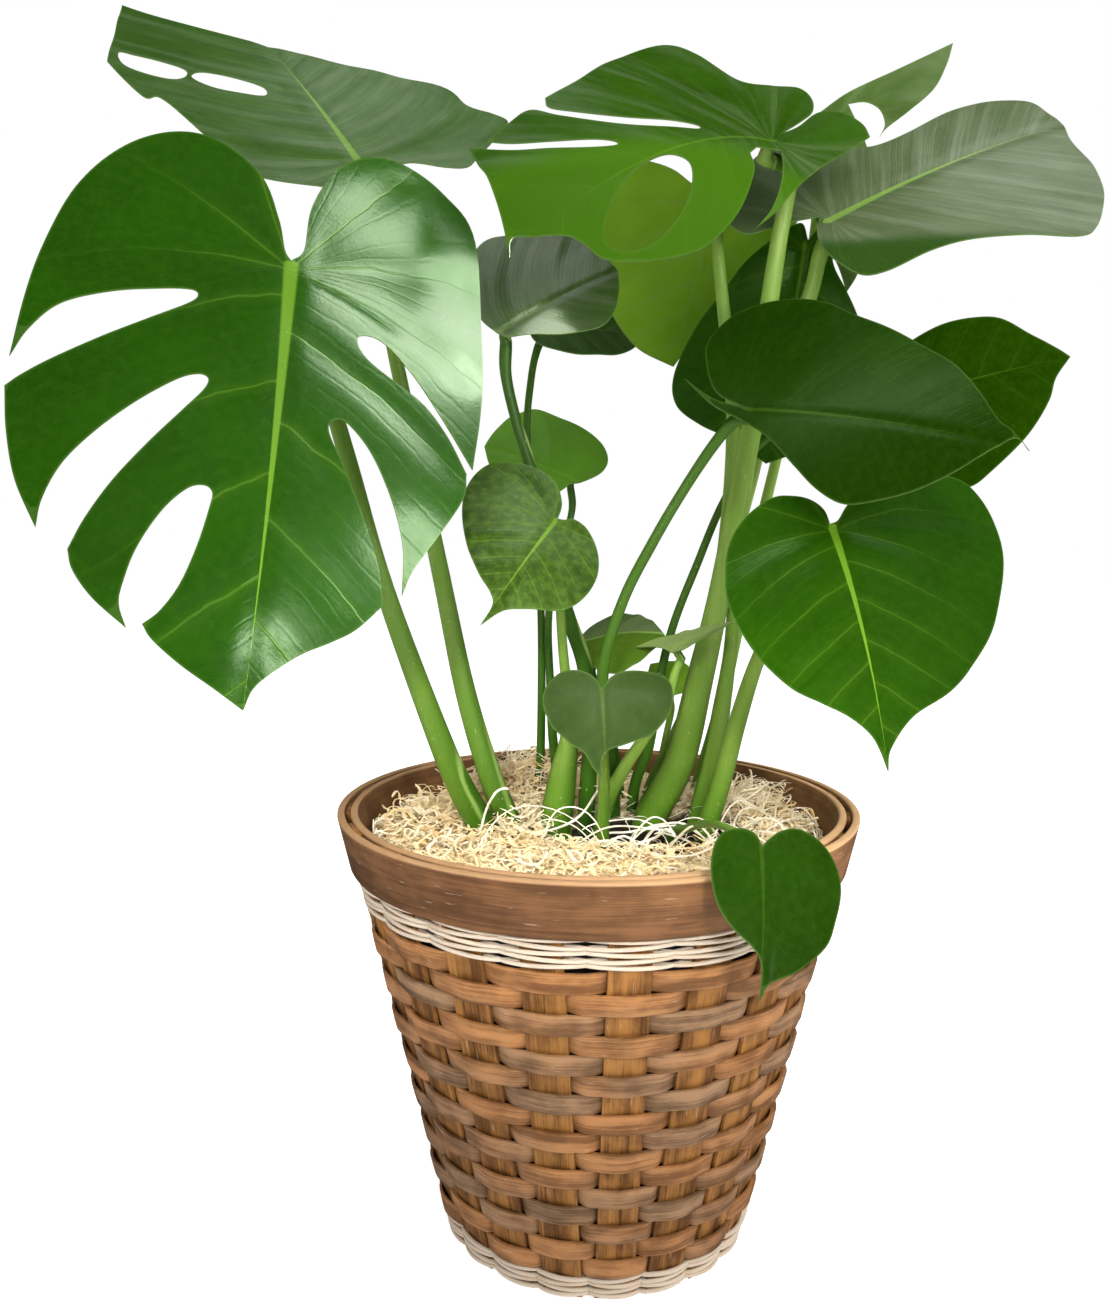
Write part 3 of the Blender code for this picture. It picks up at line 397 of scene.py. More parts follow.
def strip_away(beside, room, spring, outside):
    """How far the strip lies outside the stakes' middle, this far beside a stake's middle."""
    if abs(beside) < ON_STAKE:
        crown = 1.0 - (beside / ON_STAKE) ** 2
        return STRIP_OUTSIDE + (STRIP_CROWN + spring) * crown if outside else -STRIP_INSIDE - 0.0002 * crown
    share = (abs(beside) - ON_STAKE) / max(room - ON_STAKE, 1e-6)
    return STRIP_OUTSIDE - 0.0005 * share ** 2 if outside else STRIP_CROSSING - 0.0037 * (1.0 - share) ** 1.5


def woven_strip(row):
    """One strip round the basket: a band that is pushed out over every other stake."""
    step = (STRIP_TOP - STRIP_BOTTOM) / STRIP_ROWS
    middle = STRIP_BOTTOM + (row + 0.5) * step
    tall = step - STRIP_APART
    strip = bare_band(STAKES * POINTS_A_STAKE, stake_radius(middle), tall, middle, STAKE_TURN)
    bpy.ops.object.mode_set(mode="EDIT")
    bpy.ops.mesh.select_all(action="SELECT")
    bpy.ops.mesh.bisect(plane_co=(0.0, 0.0, middle), plane_no=(0.0, 0.0, 1.0))
    bpy.ops.object.mode_set(mode="OBJECT")
    spring = [weave_draw.uniform(-0.0004, 0.0007) for _ in range(STAKES)]
    lift = [weave_draw.uniform(-0.0003, 0.0003) for _ in range(STAKES)]
    lean = [weave_draw.uniform(-0.0005, 0.0005) for _ in range(STAKES)]
    for point in strip.data.vertices:
        turn = math.atan2(point.co.y, point.co.x)
        steps = (turn - STAKE_TURN) / (2 * math.pi / STAKES)
        number = round(steps)
        outside = (number + row) % 2 == 0
        radius = stake_radius(point.co.z)
        beside = (steps - number) * 2 * math.pi * radius / STAKES
        room = math.pi * radius / STAKES
        away = strip_away(beside, room, spring[number % STAKES], outside)
        height = (point.co.z - middle) / (tall / 2)
        if outside:
            away += lean[number % STAKES] * height * (1.0 - min(1.0, abs(beside) / ON_STAKE)) * 0.6
            away -= 0.0001 * height * height
        point.co.x = (radius + away) * math.cos(turn)
        point.co.y = (radius + away) * math.sin(turn)
        point.co.z += lift[number % STAKES] * max(0.0, 1.0 - abs(beside) / room) * (1.0 - 0.8 * abs(height))
    unroll(strip, stake_radius(middle), row * 3.7, 0.0)
    own = weave_draw.random()
    shades = [own + weave_draw.uniform(-0.35, 0.35) for _ in range(STAKES)]
    tones = []
    for point in strip.data.vertices:
        steps = (math.atan2(point.co.y, point.co.x) - STAKE_TURN) / (2 * math.pi / STAKES)
        over = 2 * round((steps - row) / 2) + row
        beyond = over + (2 if steps > over else -2)
        share = max(0.0, abs(steps - over) - 0.75) * 2.0
        tones.append(shades[over % STAKES] * (1.0 - share) + shades[beyond % STAKES] * share)
    carry(strip.data, "tone", tones)
    thicken(strip, STRIP_THICK, 0.0002, 2, 40)
    return strip


def strip_pattern(tree):
    """Tan to grey brown, changing from strip to strip and slowly along each one."""
    run = node(tree, "UVMap", {}, uv_map="run").outputs[0]
    slow = stretched_noise(tree, run, (16.0, 40.0, 3.0), 1.0)
    own = times(tree, carried(tree, "tone"), 0.60)
    grey = soft_step(tree, sums(tree, "ADD", slow, own), 0.50, 1.05)
    dark = blend_colours(tree, grey, (0.155, 0.063, 0.019), (0.105, 0.056, 0.026))
    light = blend_colours(tree, grey, (0.385, 0.174, 0.061), (0.295, 0.168, 0.086))
    return splint(tree, Place=run, Dark=dark, Light=light, Fibre=0.50)


strips = join_pieces([woven_strip(row) for row in range(STRIP_ROWS)], "woven_strips")
dress(strips, finish_material("strip_splint", strip_pattern, bump=0.55))
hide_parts("strips")
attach(strips, "root")


# The hoops: two bands of bent wood, 28 mm high and 4 mm thick, one outside and one inside the stakes'
# tops. Each is closed by a tapered lap, and the upper edges are rubbed round.
HOOP_HEIGHT = 0.028
HOOP_THICK = 0.004
HOOP_POINTS = 192
LAP_THICK = 0.0016
LAP_HALF = 0.27
CLEAR = 0.0003


def turn_past(turn, start):
    """How far a turn is past another, from half a turn back to half a turn on."""
    return (turn - start + math.pi) % (2 * math.pi) - math.pi


def bent_hoop(name, middle_radius, lap_turn, lap_side):
    """A band bent to a ring, with the lapped end lying on it."""
    middle = HEIGHT - HOOP_HEIGHT / 2
    lean = (STAKE_RADIUS_TOP - STAKE_RADIUS_FOOT) / HEIGHT
    pieces = []
    for lap, thick, rounded, seed, tone in (
        (False, HOOP_THICK, 0.0011, 5.0, 0.4),
        (True, LAP_THICK, 0.0003, 9.0, 0.7),
    ):
        band = bare_band(HOOP_POINTS, middle_radius, HOOP_HEIGHT, middle)
        if lap:
            work = bmesh.new()
            work.from_mesh(band.data)
            middles = [(face, face.calc_center_median()) for face in work.faces]
            far = [face for face, m in middles if abs(turn_past(math.atan2(m.y, m.x), lap_turn)) > LAP_HALF]
            bmesh.ops.delete(work, geom=far, context="FACES")
            work.to_mesh(band.data)
            work.free()
        for point in band.data.vertices:
            turn = math.atan2(point.co.y, point.co.x)
            radius = middle_radius + (point.co.z - middle) * lean
            if lap:
                ahead = (turn_past(turn, lap_turn) + LAP_HALF) / (2 * LAP_HALF)
                radius += lap_side * (HOOP_THICK / 2 - 0.0009 + 0.0013 * ahead)
                point.co.z -= 0.0006 + 0.0006 * (point.co.z > middle)
            point.co.z += 0.0004 * math.sin(2 * turn + middle_radius * 900)
            point.co.x = radius * math.cos(turn)
            point.co.y = radius * math.sin(turn)
        unroll(band, middle_radius, seed, tone)
        thicken(band, thick, rounded, 3, 35)
        pieces.append(band)
    return join_pieces(pieces, name)


def own_wood(tree):
    """Where a point lies on its piece's own map, and the same with a third axis that differs from piece
    to piece."""
    place = node(tree, "SeparateXYZ", {0: node(tree, "UVMap", {}, uv_map="run").outputs[0]}).outputs
    apart = times(tree, carried(tree, "tone"), 9.0)
    return place, node(tree, "CombineXYZ", {0: place["X"], 1: place["Y"], 2: apart}).outputs[0]


def hoop_pattern(tree):
    """Reddish brown with long grain, paler where the edge is rubbed, and with painted light making it paler
    on the right.
    """
    place, piece = own_wood(tree)
    colour, roughness, height = splint(
        tree, Place=piece, Dark=(0.085, 0.037, 0.0135), Light=(0.165, 0.074, 0.028), Fibre=0.55,
    )
    rubbed = soft_step(tree, place["Y"], HEIGHT - 0.0016, HEIGHT - 0.0002)
    colour = blend_colours(tree, times(tree, rubbed, 0.6), colour, (0.52, 0.31, 0.15))
    # Painted light: the band grows paler towards the right, as if lit from that side.
    rightwards = node(tree, "SeparateXYZ", {0: object_place(tree)}).outputs["X"]
    painted_right_light = soft_step(tree, rightwards, -0.02, 0.13)
    return blend_colours(tree, painted_right_light, colour, tinted(tree, colour, (1.65, 1.72, 1.78))), roughness, height


hoop_look = finish_material("hoop_splint", hoop_pattern, bump=0.35)
hoop_layer = STAKE_THICK / 2 + CLEAR + HOOP_THICK / 2
hoop_middle = stake_radius(HEIGHT - HOOP_HEIGHT / 2)
for title, radius, turn, side, cad in (
    ("outer_hoop", hoop_middle + hoop_layer + 0.0005, math.radians(140), 1, "rim_outer"),
    ("inner_hoop", hoop_middle - hoop_layer + 0.0002, math.radians(-99), -1, "rim_inner"),
):
    hoop = bent_hoop(title, radius, turn, side)
    dress(hoop, hoop_look)
    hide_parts(cad)
    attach(hoop, "root")


# The pale reed: round bleached cane, about 2.3 mm thick, twined in pairs. In each row one reed passes
# outside a stake while the other passes inside, and they cross in every gap. Five rows under the rim, four
# at the foot.
REED = 0.0034
TOP_REED_ROWS = 5
FOOT_REED_ROWS = 4
REED_AWAY = 0.00285


def round_body(name, places, thick, rings, closed, sizes=None):
    """A round body along a line of places. Each of the sizes is a share of the thickness."""
    line = bpy.data.curves.new(name, "CURVE")
    line.dimensions = "3D"
    line.bevel_depth = thick
    line.bevel_resolution = rings
    line.use_fill_caps = not closed
    spline = line.splines.new("POLY")
    spline.points.add(len(places) - 1)
    spline.use_cyclic_u = closed
    for point, place, size in zip(spline.points, places, sizes or [1.0] * len(places)):
        point.co = (*place, 1.0)
        point.radius = size
    made = bpy.data.objects.new(name, line)
    bpy.context.scene.collection.objects.link(made)
    select_alone(made)
    bpy.ops.object.convert(target="MESH")
    bpy.ops.object.shade_smooth()
    return bpy.context.object


def twined_reeds(name, bottom, rows, thick):
    pieces = []
    for row in range(rows):
        level = bottom + (row + 0.5) * REED
        for strand in (0, 1):
            places = []
            for i in range(STAKES * POINTS_A_STAKE):
                steps = i / POINTS_A_STAKE
                wave = math.cos(math.pi * (steps + strand + row))
                away = REED_AWAY * math.copysign(abs(wave) ** 0.7, wave)
                turn = STAKE_TURN + 2 * math.pi * steps / STAKES
                rise = 0.00055 * math.sin(math.pi * (steps + strand + row)) * (1 if strand else -1)
                z = level + rise + 0.00022 * math.sin(3 * turn + row)
                radius = stake_radius(z) + away + 0.0001 * math.sin(7 * turn + 3 * row)
                places.append((radius * math.cos(turn), radius * math.sin(turn), z))
            reed = round_body(name, places, thick, 2, True)
            unroll(reed, STAKE_RADIUS_TOP, 1.3 * row + 7.0 * strand, (row * 0.37 + strand * 0.53) % 1.0)
            pieces.append(reed)
    return join_pieces(pieces, name)


def reed_pattern(tree):
    """Cream cane with faint fibres, a little browner in places."""
    piece = own_wood(tree)[1]
    fibres = stretched_noise(tree, piece, (40.0, 2600.0, 5.0), 3.0)
    patches = soft_step(tree, stretched_noise(tree, piece, (22.0, 60.0, 5.0), 2.0), 0.50, 0.74)
    colour = blend_colours(tree, fibres, (0.40, 0.315, 0.235), (0.66, 0.56, 0.44))
    colour = blend_colours(tree, times(tree, patches, 0.55), colour, (0.45, 0.31, 0.18))
    return colour, between(tree, fibres, 0.42, 0.62), fibres


reed_look = finish_material("bleached_reed", reed_pattern, bump=0.2, depth=0.0002)
top_reed_bottom = HEIGHT - HOOP_HEIGHT - CLEAR - TOP_REED_ROWS * REED
for title, bottom, rows, thick, cad in (
    ("twined_reed_top", top_reed_bottom, TOP_REED_ROWS, 0.00108, "reed_top"),
    ("twined_reed_foot", 0.0005, FOOT_REED_ROWS, 0.00125, "reed_foot"),
):
    reeds = twined_reeds(title, bottom, rows, thick)
    dress(reeds, reed_look)
    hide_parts(cad)
    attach(reeds, "root")


# The growing pot and its soil: a thin black plastic pot with damp brown mix, mostly covered. The soil has
# a hole for every stalk.
def pot_pattern(tree):
    grain = stretched_noise(tree, object_place(tree), (900.0, 900.0, 900.0), 2.0)
    colour = blend_colours(tree, grain, (0.012, 0.012, 0.013), (0.035, 0.035, 0.034))
    return colour, between(tree, grain, 0.38, 0.55), grain


def soil_pattern(tree):
    place = object_place(tree)
    crumbs = stretched_noise(tree, place, (320.0, 320.0, 320.0), 5.0, 0.7)
    bark_and_gap_shade = soft_step(tree, stretched_noise(tree, place, (190.0, 130.0, 160.0), 2.0), 0.60, 0.66)
    colour = blend_colours(tree, crumbs, (0.012, 0.007, 0.004), (0.11, 0.065, 0.035))
    colour = blend_colours(tree, times(tree, bark_and_gap_shade, 0.7), colour, (0.19, 0.10, 0.05))
    return colour, between(tree, crumbs, 0.8, 1.0), crumbs


dress(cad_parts["growing_pot"], finish_material("moulded_plastic", pot_pattern, bump=0.15))
dress(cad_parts["soil"], finish_material("damp_soil", soil_pattern, bump=1.0, depth=0.004))


# The wood wool: cream curls of shaved wood heaped round the stalks, low at the front and higher at the
# back. Under the loose curls lies a denser bed, and some long ones stand up or lie across it.
WOOL_EDGE = 0.2165
WOOL_REACH = 0.123
BED_RADIUS = 0.1212
BED_RINGS = 26
BED_DEPTH = 0.006
CURLS = 2700
CURLS_REACH = 0.119
STANDING = 230
STANDING_REACH = 0.110
ROOTS = 28
ROOT_POINTS = 15
ANY_WAY = 6.28
WIDEST_BELOW_RIM = 0.1215
WIDEST_ABOVE_RIM = 0.128
wool_draw = random.Random(5)


def bare(x, y):
    """1 in the middle of the bare soil round the stalks' feet and 0 outside it."""
    return max(0.0, 1.0 - ((x - 0.028) / 0.056) ** 2 - ((y + 0.004) / 0.038) ** 2)


def wool_height(x, y):
    radius = math.hypot(x, y)
    rim = max(0.0, 1.0 - (radius / WOOL_REACH) ** 3)
    heap = 0.024 * math.exp(-((x + 0.045) ** 2 + (y - 0.075) ** 2) / 0.0012)
    side = 0.012 * math.exp(-((x - 0.085) ** 2 + (y - 0.03) ** 2) / 0.0010)
    side += 0.010 * math.exp(-((x + 0.100) ** 2 + (y - 0.005) ** 2) / 0.0012)
    dip = 0.006 * min(1.0, 2.0 * bare(x, y))
    clumps = 0.0016 * math.sin(x * 118 + 1.4 * math.sin(y * 83)) * math.sin(y * 127 + 1.6 * math.sin(x * 71))
    return WOOL_EDGE + rim * (0.0035 + 0.03 * max(0.0, y) + clumps) + (heap + side) * rim ** 0.5 - dip


def wool_bed():
    bpy.ops.object.select_all(action="DESELECT")
    bpy.ops.mesh.primitive_circle_add(
        vertices=120, radius=BED_RADIUS, fill_type="NOTHING", location=(0, 0, WOOL_EDGE),
    )
    bed = bpy.context.object
    bpy.ops.object.transform_apply(location=True, rotation=True, scale=True)
    bpy.ops.object.mode_set(mode="EDIT")
    bpy.ops.mesh.select_all(action="SELECT")
    for ring in range(BED_RINGS, 1, -1):
        bpy.ops.mesh.extrude_edges_move()
        bpy.ops.transform.resize(value=((ring - 1) / ring, (ring - 1) / ring, 1.0))
    bpy.ops.mesh.edge_face_add()
    bpy.ops.mesh.poke()
    bpy.ops.object.mode_set(mode="OBJECT")
    for point in bed.data.vertices:
        x, y = point.co.x, point.co.y
        lump = math.sin(x * 210 + 1.3 * math.sin(y * 170)) * math.sin(y * 190 + 1.7 * math.sin(x * 150))
        fine = math.sin(x * 640 + 2 * math.sin(y * 530)) * math.sin(y * 610 + 2 * math.sin(x * 480))
        inside_edge = 1.0 - (math.hypot(x, y) / BED_RADIUS) ** 8
        point.co.z = wool_height(x, y) - 0.0016 + inside_edge * (0.0016 * lump + 0.0006 * fine)
    carry(bed.data, "bare", [bare(point.co.x, point.co.y) for point in bed.data.vertices])
    depth = bed.modifiers.new("Depth", "SOLIDIFY")
    depth.thickness = BED_DEPTH
    depth.offset = -1.0
    apply_modifiers(bed)
    bpy.ops.object.mode_set(mode="EDIT")
    bpy.ops.mesh.select_all(action="SELECT")
    bpy.ops.mesh.normals_make_consistent(inside=False)
    bpy.ops.object.mode_set(mode="OBJECT")
    bpy.ops.object.shade_smooth()
    bed.name = bed.data.name = "wool_bed"
    return bed


def shaving(points, faces, tones, line, width, tone, thick=0.26, turning=0.35):
    """Adds one thin three-sided ribbon along a line."""
    start = len(points)
    count = len(line)
    for i, middle in enumerate(line):
        run = line[min(i + 1, count - 1)] - line[max(i - 1, 0)]
        run.normalize()
        twist = turning * i + tone * 20
        side = run.cross(Vector((math.cos(twist) * 0.5, math.sin(twist) * 0.5, 1.0)))
        side.normalize()
        top = side.cross(run)
        taper = 0.45 if i in (0, count - 1) else 1.0
        for across, over in ((-0.5, 0.0), (0.5, 0.0), (0.0, thick)):
            points.append(middle + side * (across * width * taper) + top * (over * width * taper))
            tones.append(tone)
    for i in range(count - 1):
        for k in range(3):
            m = (k + 1) % 3
            a, b = start + 3 * i, start + 3 * i + 3
            faces.append((a + k, b + k, b + m, a + m))
    faces.append((start, start + 1, start + 2))
    last = start + 3 * (count - 1)
    faces.append((last + 2, last + 1, last))


def curl_line(place, heading, pitch, tight, step, count):
    """A line that winds about as it goes."""
    line = [Vector(place)]
    wobble = wool_draw.uniform(0.0, ANY_WAY)
    for i in range(count):
        heading += step * tight * (1.0 + 0.8 * math.sin(i * 0.55 + wobble))
        rise = pitch + 0.55 * math.sin(i * 0.8 + wobble)
        ahead = Vector((math.cos(heading), math.sin(heading), rise)).normalized() * step
        line.append(line[-1] + ahead)
    return line


def keep_in_hoop(line, sunk):
    """Holds a strand inside the basket, and above the bed less this much."""
    for p in line:
        away = math.hypot(p.x, p.y)
        limit = WIDEST_BELOW_RIM if p.z < HEIGHT + 0.003 else WIDEST_ABOVE_RIM
        if away > limit:
            p.x, p.y = p.x * limit / away, p.y * limit / away
        p.z = max(p.z, wool_height(p.x, p.y) - sunk)
    return line


def curl():
    """One curl lying in the heap, with its width and tone, or none where the soil is bare."""
    turn = wool_draw.uniform(-math.pi, math.pi)
    far = CURLS_REACH * math.sqrt(wool_draw.random())
    x, y = far * math.cos(turn), far * math.sin(turn)
    if bare(x, y) > 0.06 * wool_draw.random():
        return None
    heap = (wool_height(x, y) - WOOL_EDGE) / 0.03
    z = wool_height(x, y) + wool_draw.uniform(-0.0015, 0.0026 + 0.005 * heap)
    tight = wool_draw.choice((-1, 1)) * wool_draw.uniform(70.0, 260.0)
    count = wool_draw.randint(8, 12)
    heading, pitch = wool_draw.uniform(0, ANY_WAY), wool_draw.uniform(-0.12, 0.16)
    line = curl_line((x, y, z), heading, pitch, tight, 0.0032, count)
    if max(bare(p.x, p.y) for p in line) > 0.25:
        return None
    return keep_in_hoop(line, 0.0015), wool_draw.uniform(0.0006, 0.0017), 0.85 * wool_draw.random()


def standing_strand():
    """One strand that stands up at the right, from the heap at the back, or elsewhere."""
    spot = wool_draw.random()
    if spot < 0.60:
        x, y = wool_draw.gauss(0.080, 0.013), wool_draw.gauss(0.018, 0.022)
        heading, pitch = wool_draw.gauss(0.2, 0.9), wool_draw.uniform(0.5, 1.6)
    elif spot < 0.85:
        x, y = wool_draw.gauss(-0.040, 0.016), wool_draw.gauss(0.066, 0.014)
        heading, pitch = wool_draw.uniform(0, ANY_WAY), wool_draw.uniform(0.5, 1.5)
    else:
        x, y = wool_draw.uniform(-0.09, 0.06), wool_draw.uniform(-0.03, 0.09)
        heading, pitch = wool_draw.uniform(0, ANY_WAY), wool_draw.uniform(0.3, 1.0)
    if math.hypot(x, y) > STANDING_REACH:
        return None
    tight = wool_draw.choice((-1, 1)) * wool_draw.uniform(15.0, 70.0)
    line = curl_line((x, y, wool_height(x, y)), heading, pitch, tight, 0.0034, 10)
    for i, p in enumerate(line):
        p.z -= 0.00016 * i * i
    return keep_in_hoop(line, 0.001), wool_draw.uniform(0.0006, 0.0011), 0.55 + 0.35 * wool_draw.random()


def pale_root(number):
    """One smooth pale root that arches over the wool at the front."""
    x, y = wool_draw.gauss(0.020, 0.030), wool_draw.gauss(-0.030, 0.012)
    heading = wool_draw.choice((0.0, math.pi)) + wool_draw.gauss(0.0, 0.5)
    reach, rise = wool_draw.uniform(0.026, 0.080), wool_draw.uniform(0.004, 0.022)
    sway, skew, end = wool_draw.uniform(-0.5, 0.5), wool_draw.uniform(0.6, 2.0), wool_draw.uniform(0.55, 1.0)
    line = []
    for i in range(ROOT_POINTS):
        t = end * i / (ROOT_POINTS - 1)
        ahead, beside = reach * t, reach * sway * math.sin(math.pi * t) + 0.0012 * math.sin(9 * t + number)
        line.append(Vector((
            x + ahead * math.cos(heading) - beside * math.sin(heading),
            y + ahead * math.sin(heading) + beside * math.cos(heading),
            wool_height(x, y) + 0.001 + rise * math.sin(math.pi * t ** skew) + 0.0008 * math.sin(11 * t),
        )))
    width = wool_draw.uniform(0.0006, 0.0013)
    return keep_in_hoop(line, 0.0), width, 0.93 + 0.07 * wool_draw.random(), 0.9, 0.02


def loose_wool():
    strands = [curl() for _ in range(CURLS)] + [standing_strand() for _ in range(STANDING)]
    strands += [pale_root(number) for number in range(ROOTS)]
    points, faces, tones = [], [], []
    for strand in strands:
        if strand:
            shaving(points, faces, tones, *strand)
    mesh = bpy.data.meshes.new("loose_wool")
    mesh.from_pydata(points, [], faces)
    carry(mesh, "tone", tones)
    made = bpy.data.objects.new("loose_wool", mesh)
    bpy.context.scene.collection.objects.link(made)
    return made


def wool_pattern(tree):
    tone = carried(tree, "tone")
    fibres = stretched_noise(tree, object_place(tree), (700.0, 700.0, 700.0), 2.0)
    colour = blend_colours(tree, soft_step(tree, tone, 0.0, 0.35), (0.82, 0.60, 0.28), (1.0, 0.86, 0.56))
    colour = blend_colours(tree, soft_step(tree, tone, 0.40, 0.92), colour, (1.0, 0.96, 0.84))
    colour = blend_colours(tree, times(tree, fibres, 0.15), colour, (0.72, 0.52, 0.26))
    return colour, between(tree, fibres, 0.65, 0.85), fibres


def bed_pattern(tree):
    place = object_place(tree)
    # Painted shade: dark brown in the curl pattern and in blots lies where the gaps between curls are
    # shaded; where the soil shows it is dark soil.
    curls = stretched_noise(tree, place, (260.0, 260.0, 260.0), 5.0, 0.7)
    bark_and_gap_shade = soft_step(tree, stretched_noise(tree, place, (75.0, 75.0, 75.0), 2.0), 0.56, 0.66)
    colour = blend_colours(tree, soft_step(tree, curls, 0.35, 0.65), (0.20, 0.12, 0.05), (0.93, 0.77, 0.48))
    colour = blend_colours(tree, times(tree, bark_and_gap_shade, 0.45), colour, (0.30, 0.18, 0.08))
    gap = soft_step(tree, carried(tree, "bare"), 0.02, 0.35)
    return blend_colours(tree, gap, colour, (0.022, 0.014, 0.008)), between(tree, curls, 0.7, 0.95), curls


def let_light_through(look, share, colour):
    """Lets this share of the light pass through to the other side."""
    tree = look.node_tree
    light = node(tree, "BsdfTranslucent", {"Color": colour})
    surface = tree.nodes["Principled BSDF"].outputs[0]
    mixed = node(tree, "MixShader", {0: share, 1: surface, 2: light.outputs[0]})
    tree.links.new(mixed.outputs[0], tree.nodes["Material Output"].inputs["Surface"])


wool_look = finish_material("shaved_wood", wool_pattern, bump=0.2)
let_light_through(wool_look, 0.35, (1.0, 0.90, 0.66))
for piece, look in (
    (wool_bed(), finish_material("packed_wool", bed_pattern, bump=0.9, depth=0.002)),
    (loose_wool(), wool_look),
):
    dress(piece, look)
    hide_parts("wood_wool")
    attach(piece, "root")


# The leaves: thin waxy blades, paler and duller underneath, with a sunk midrib, side veins that curve
# towards the tip, and a fine pale edge. The large ones are cut to fingers and pierced beside the midrib.

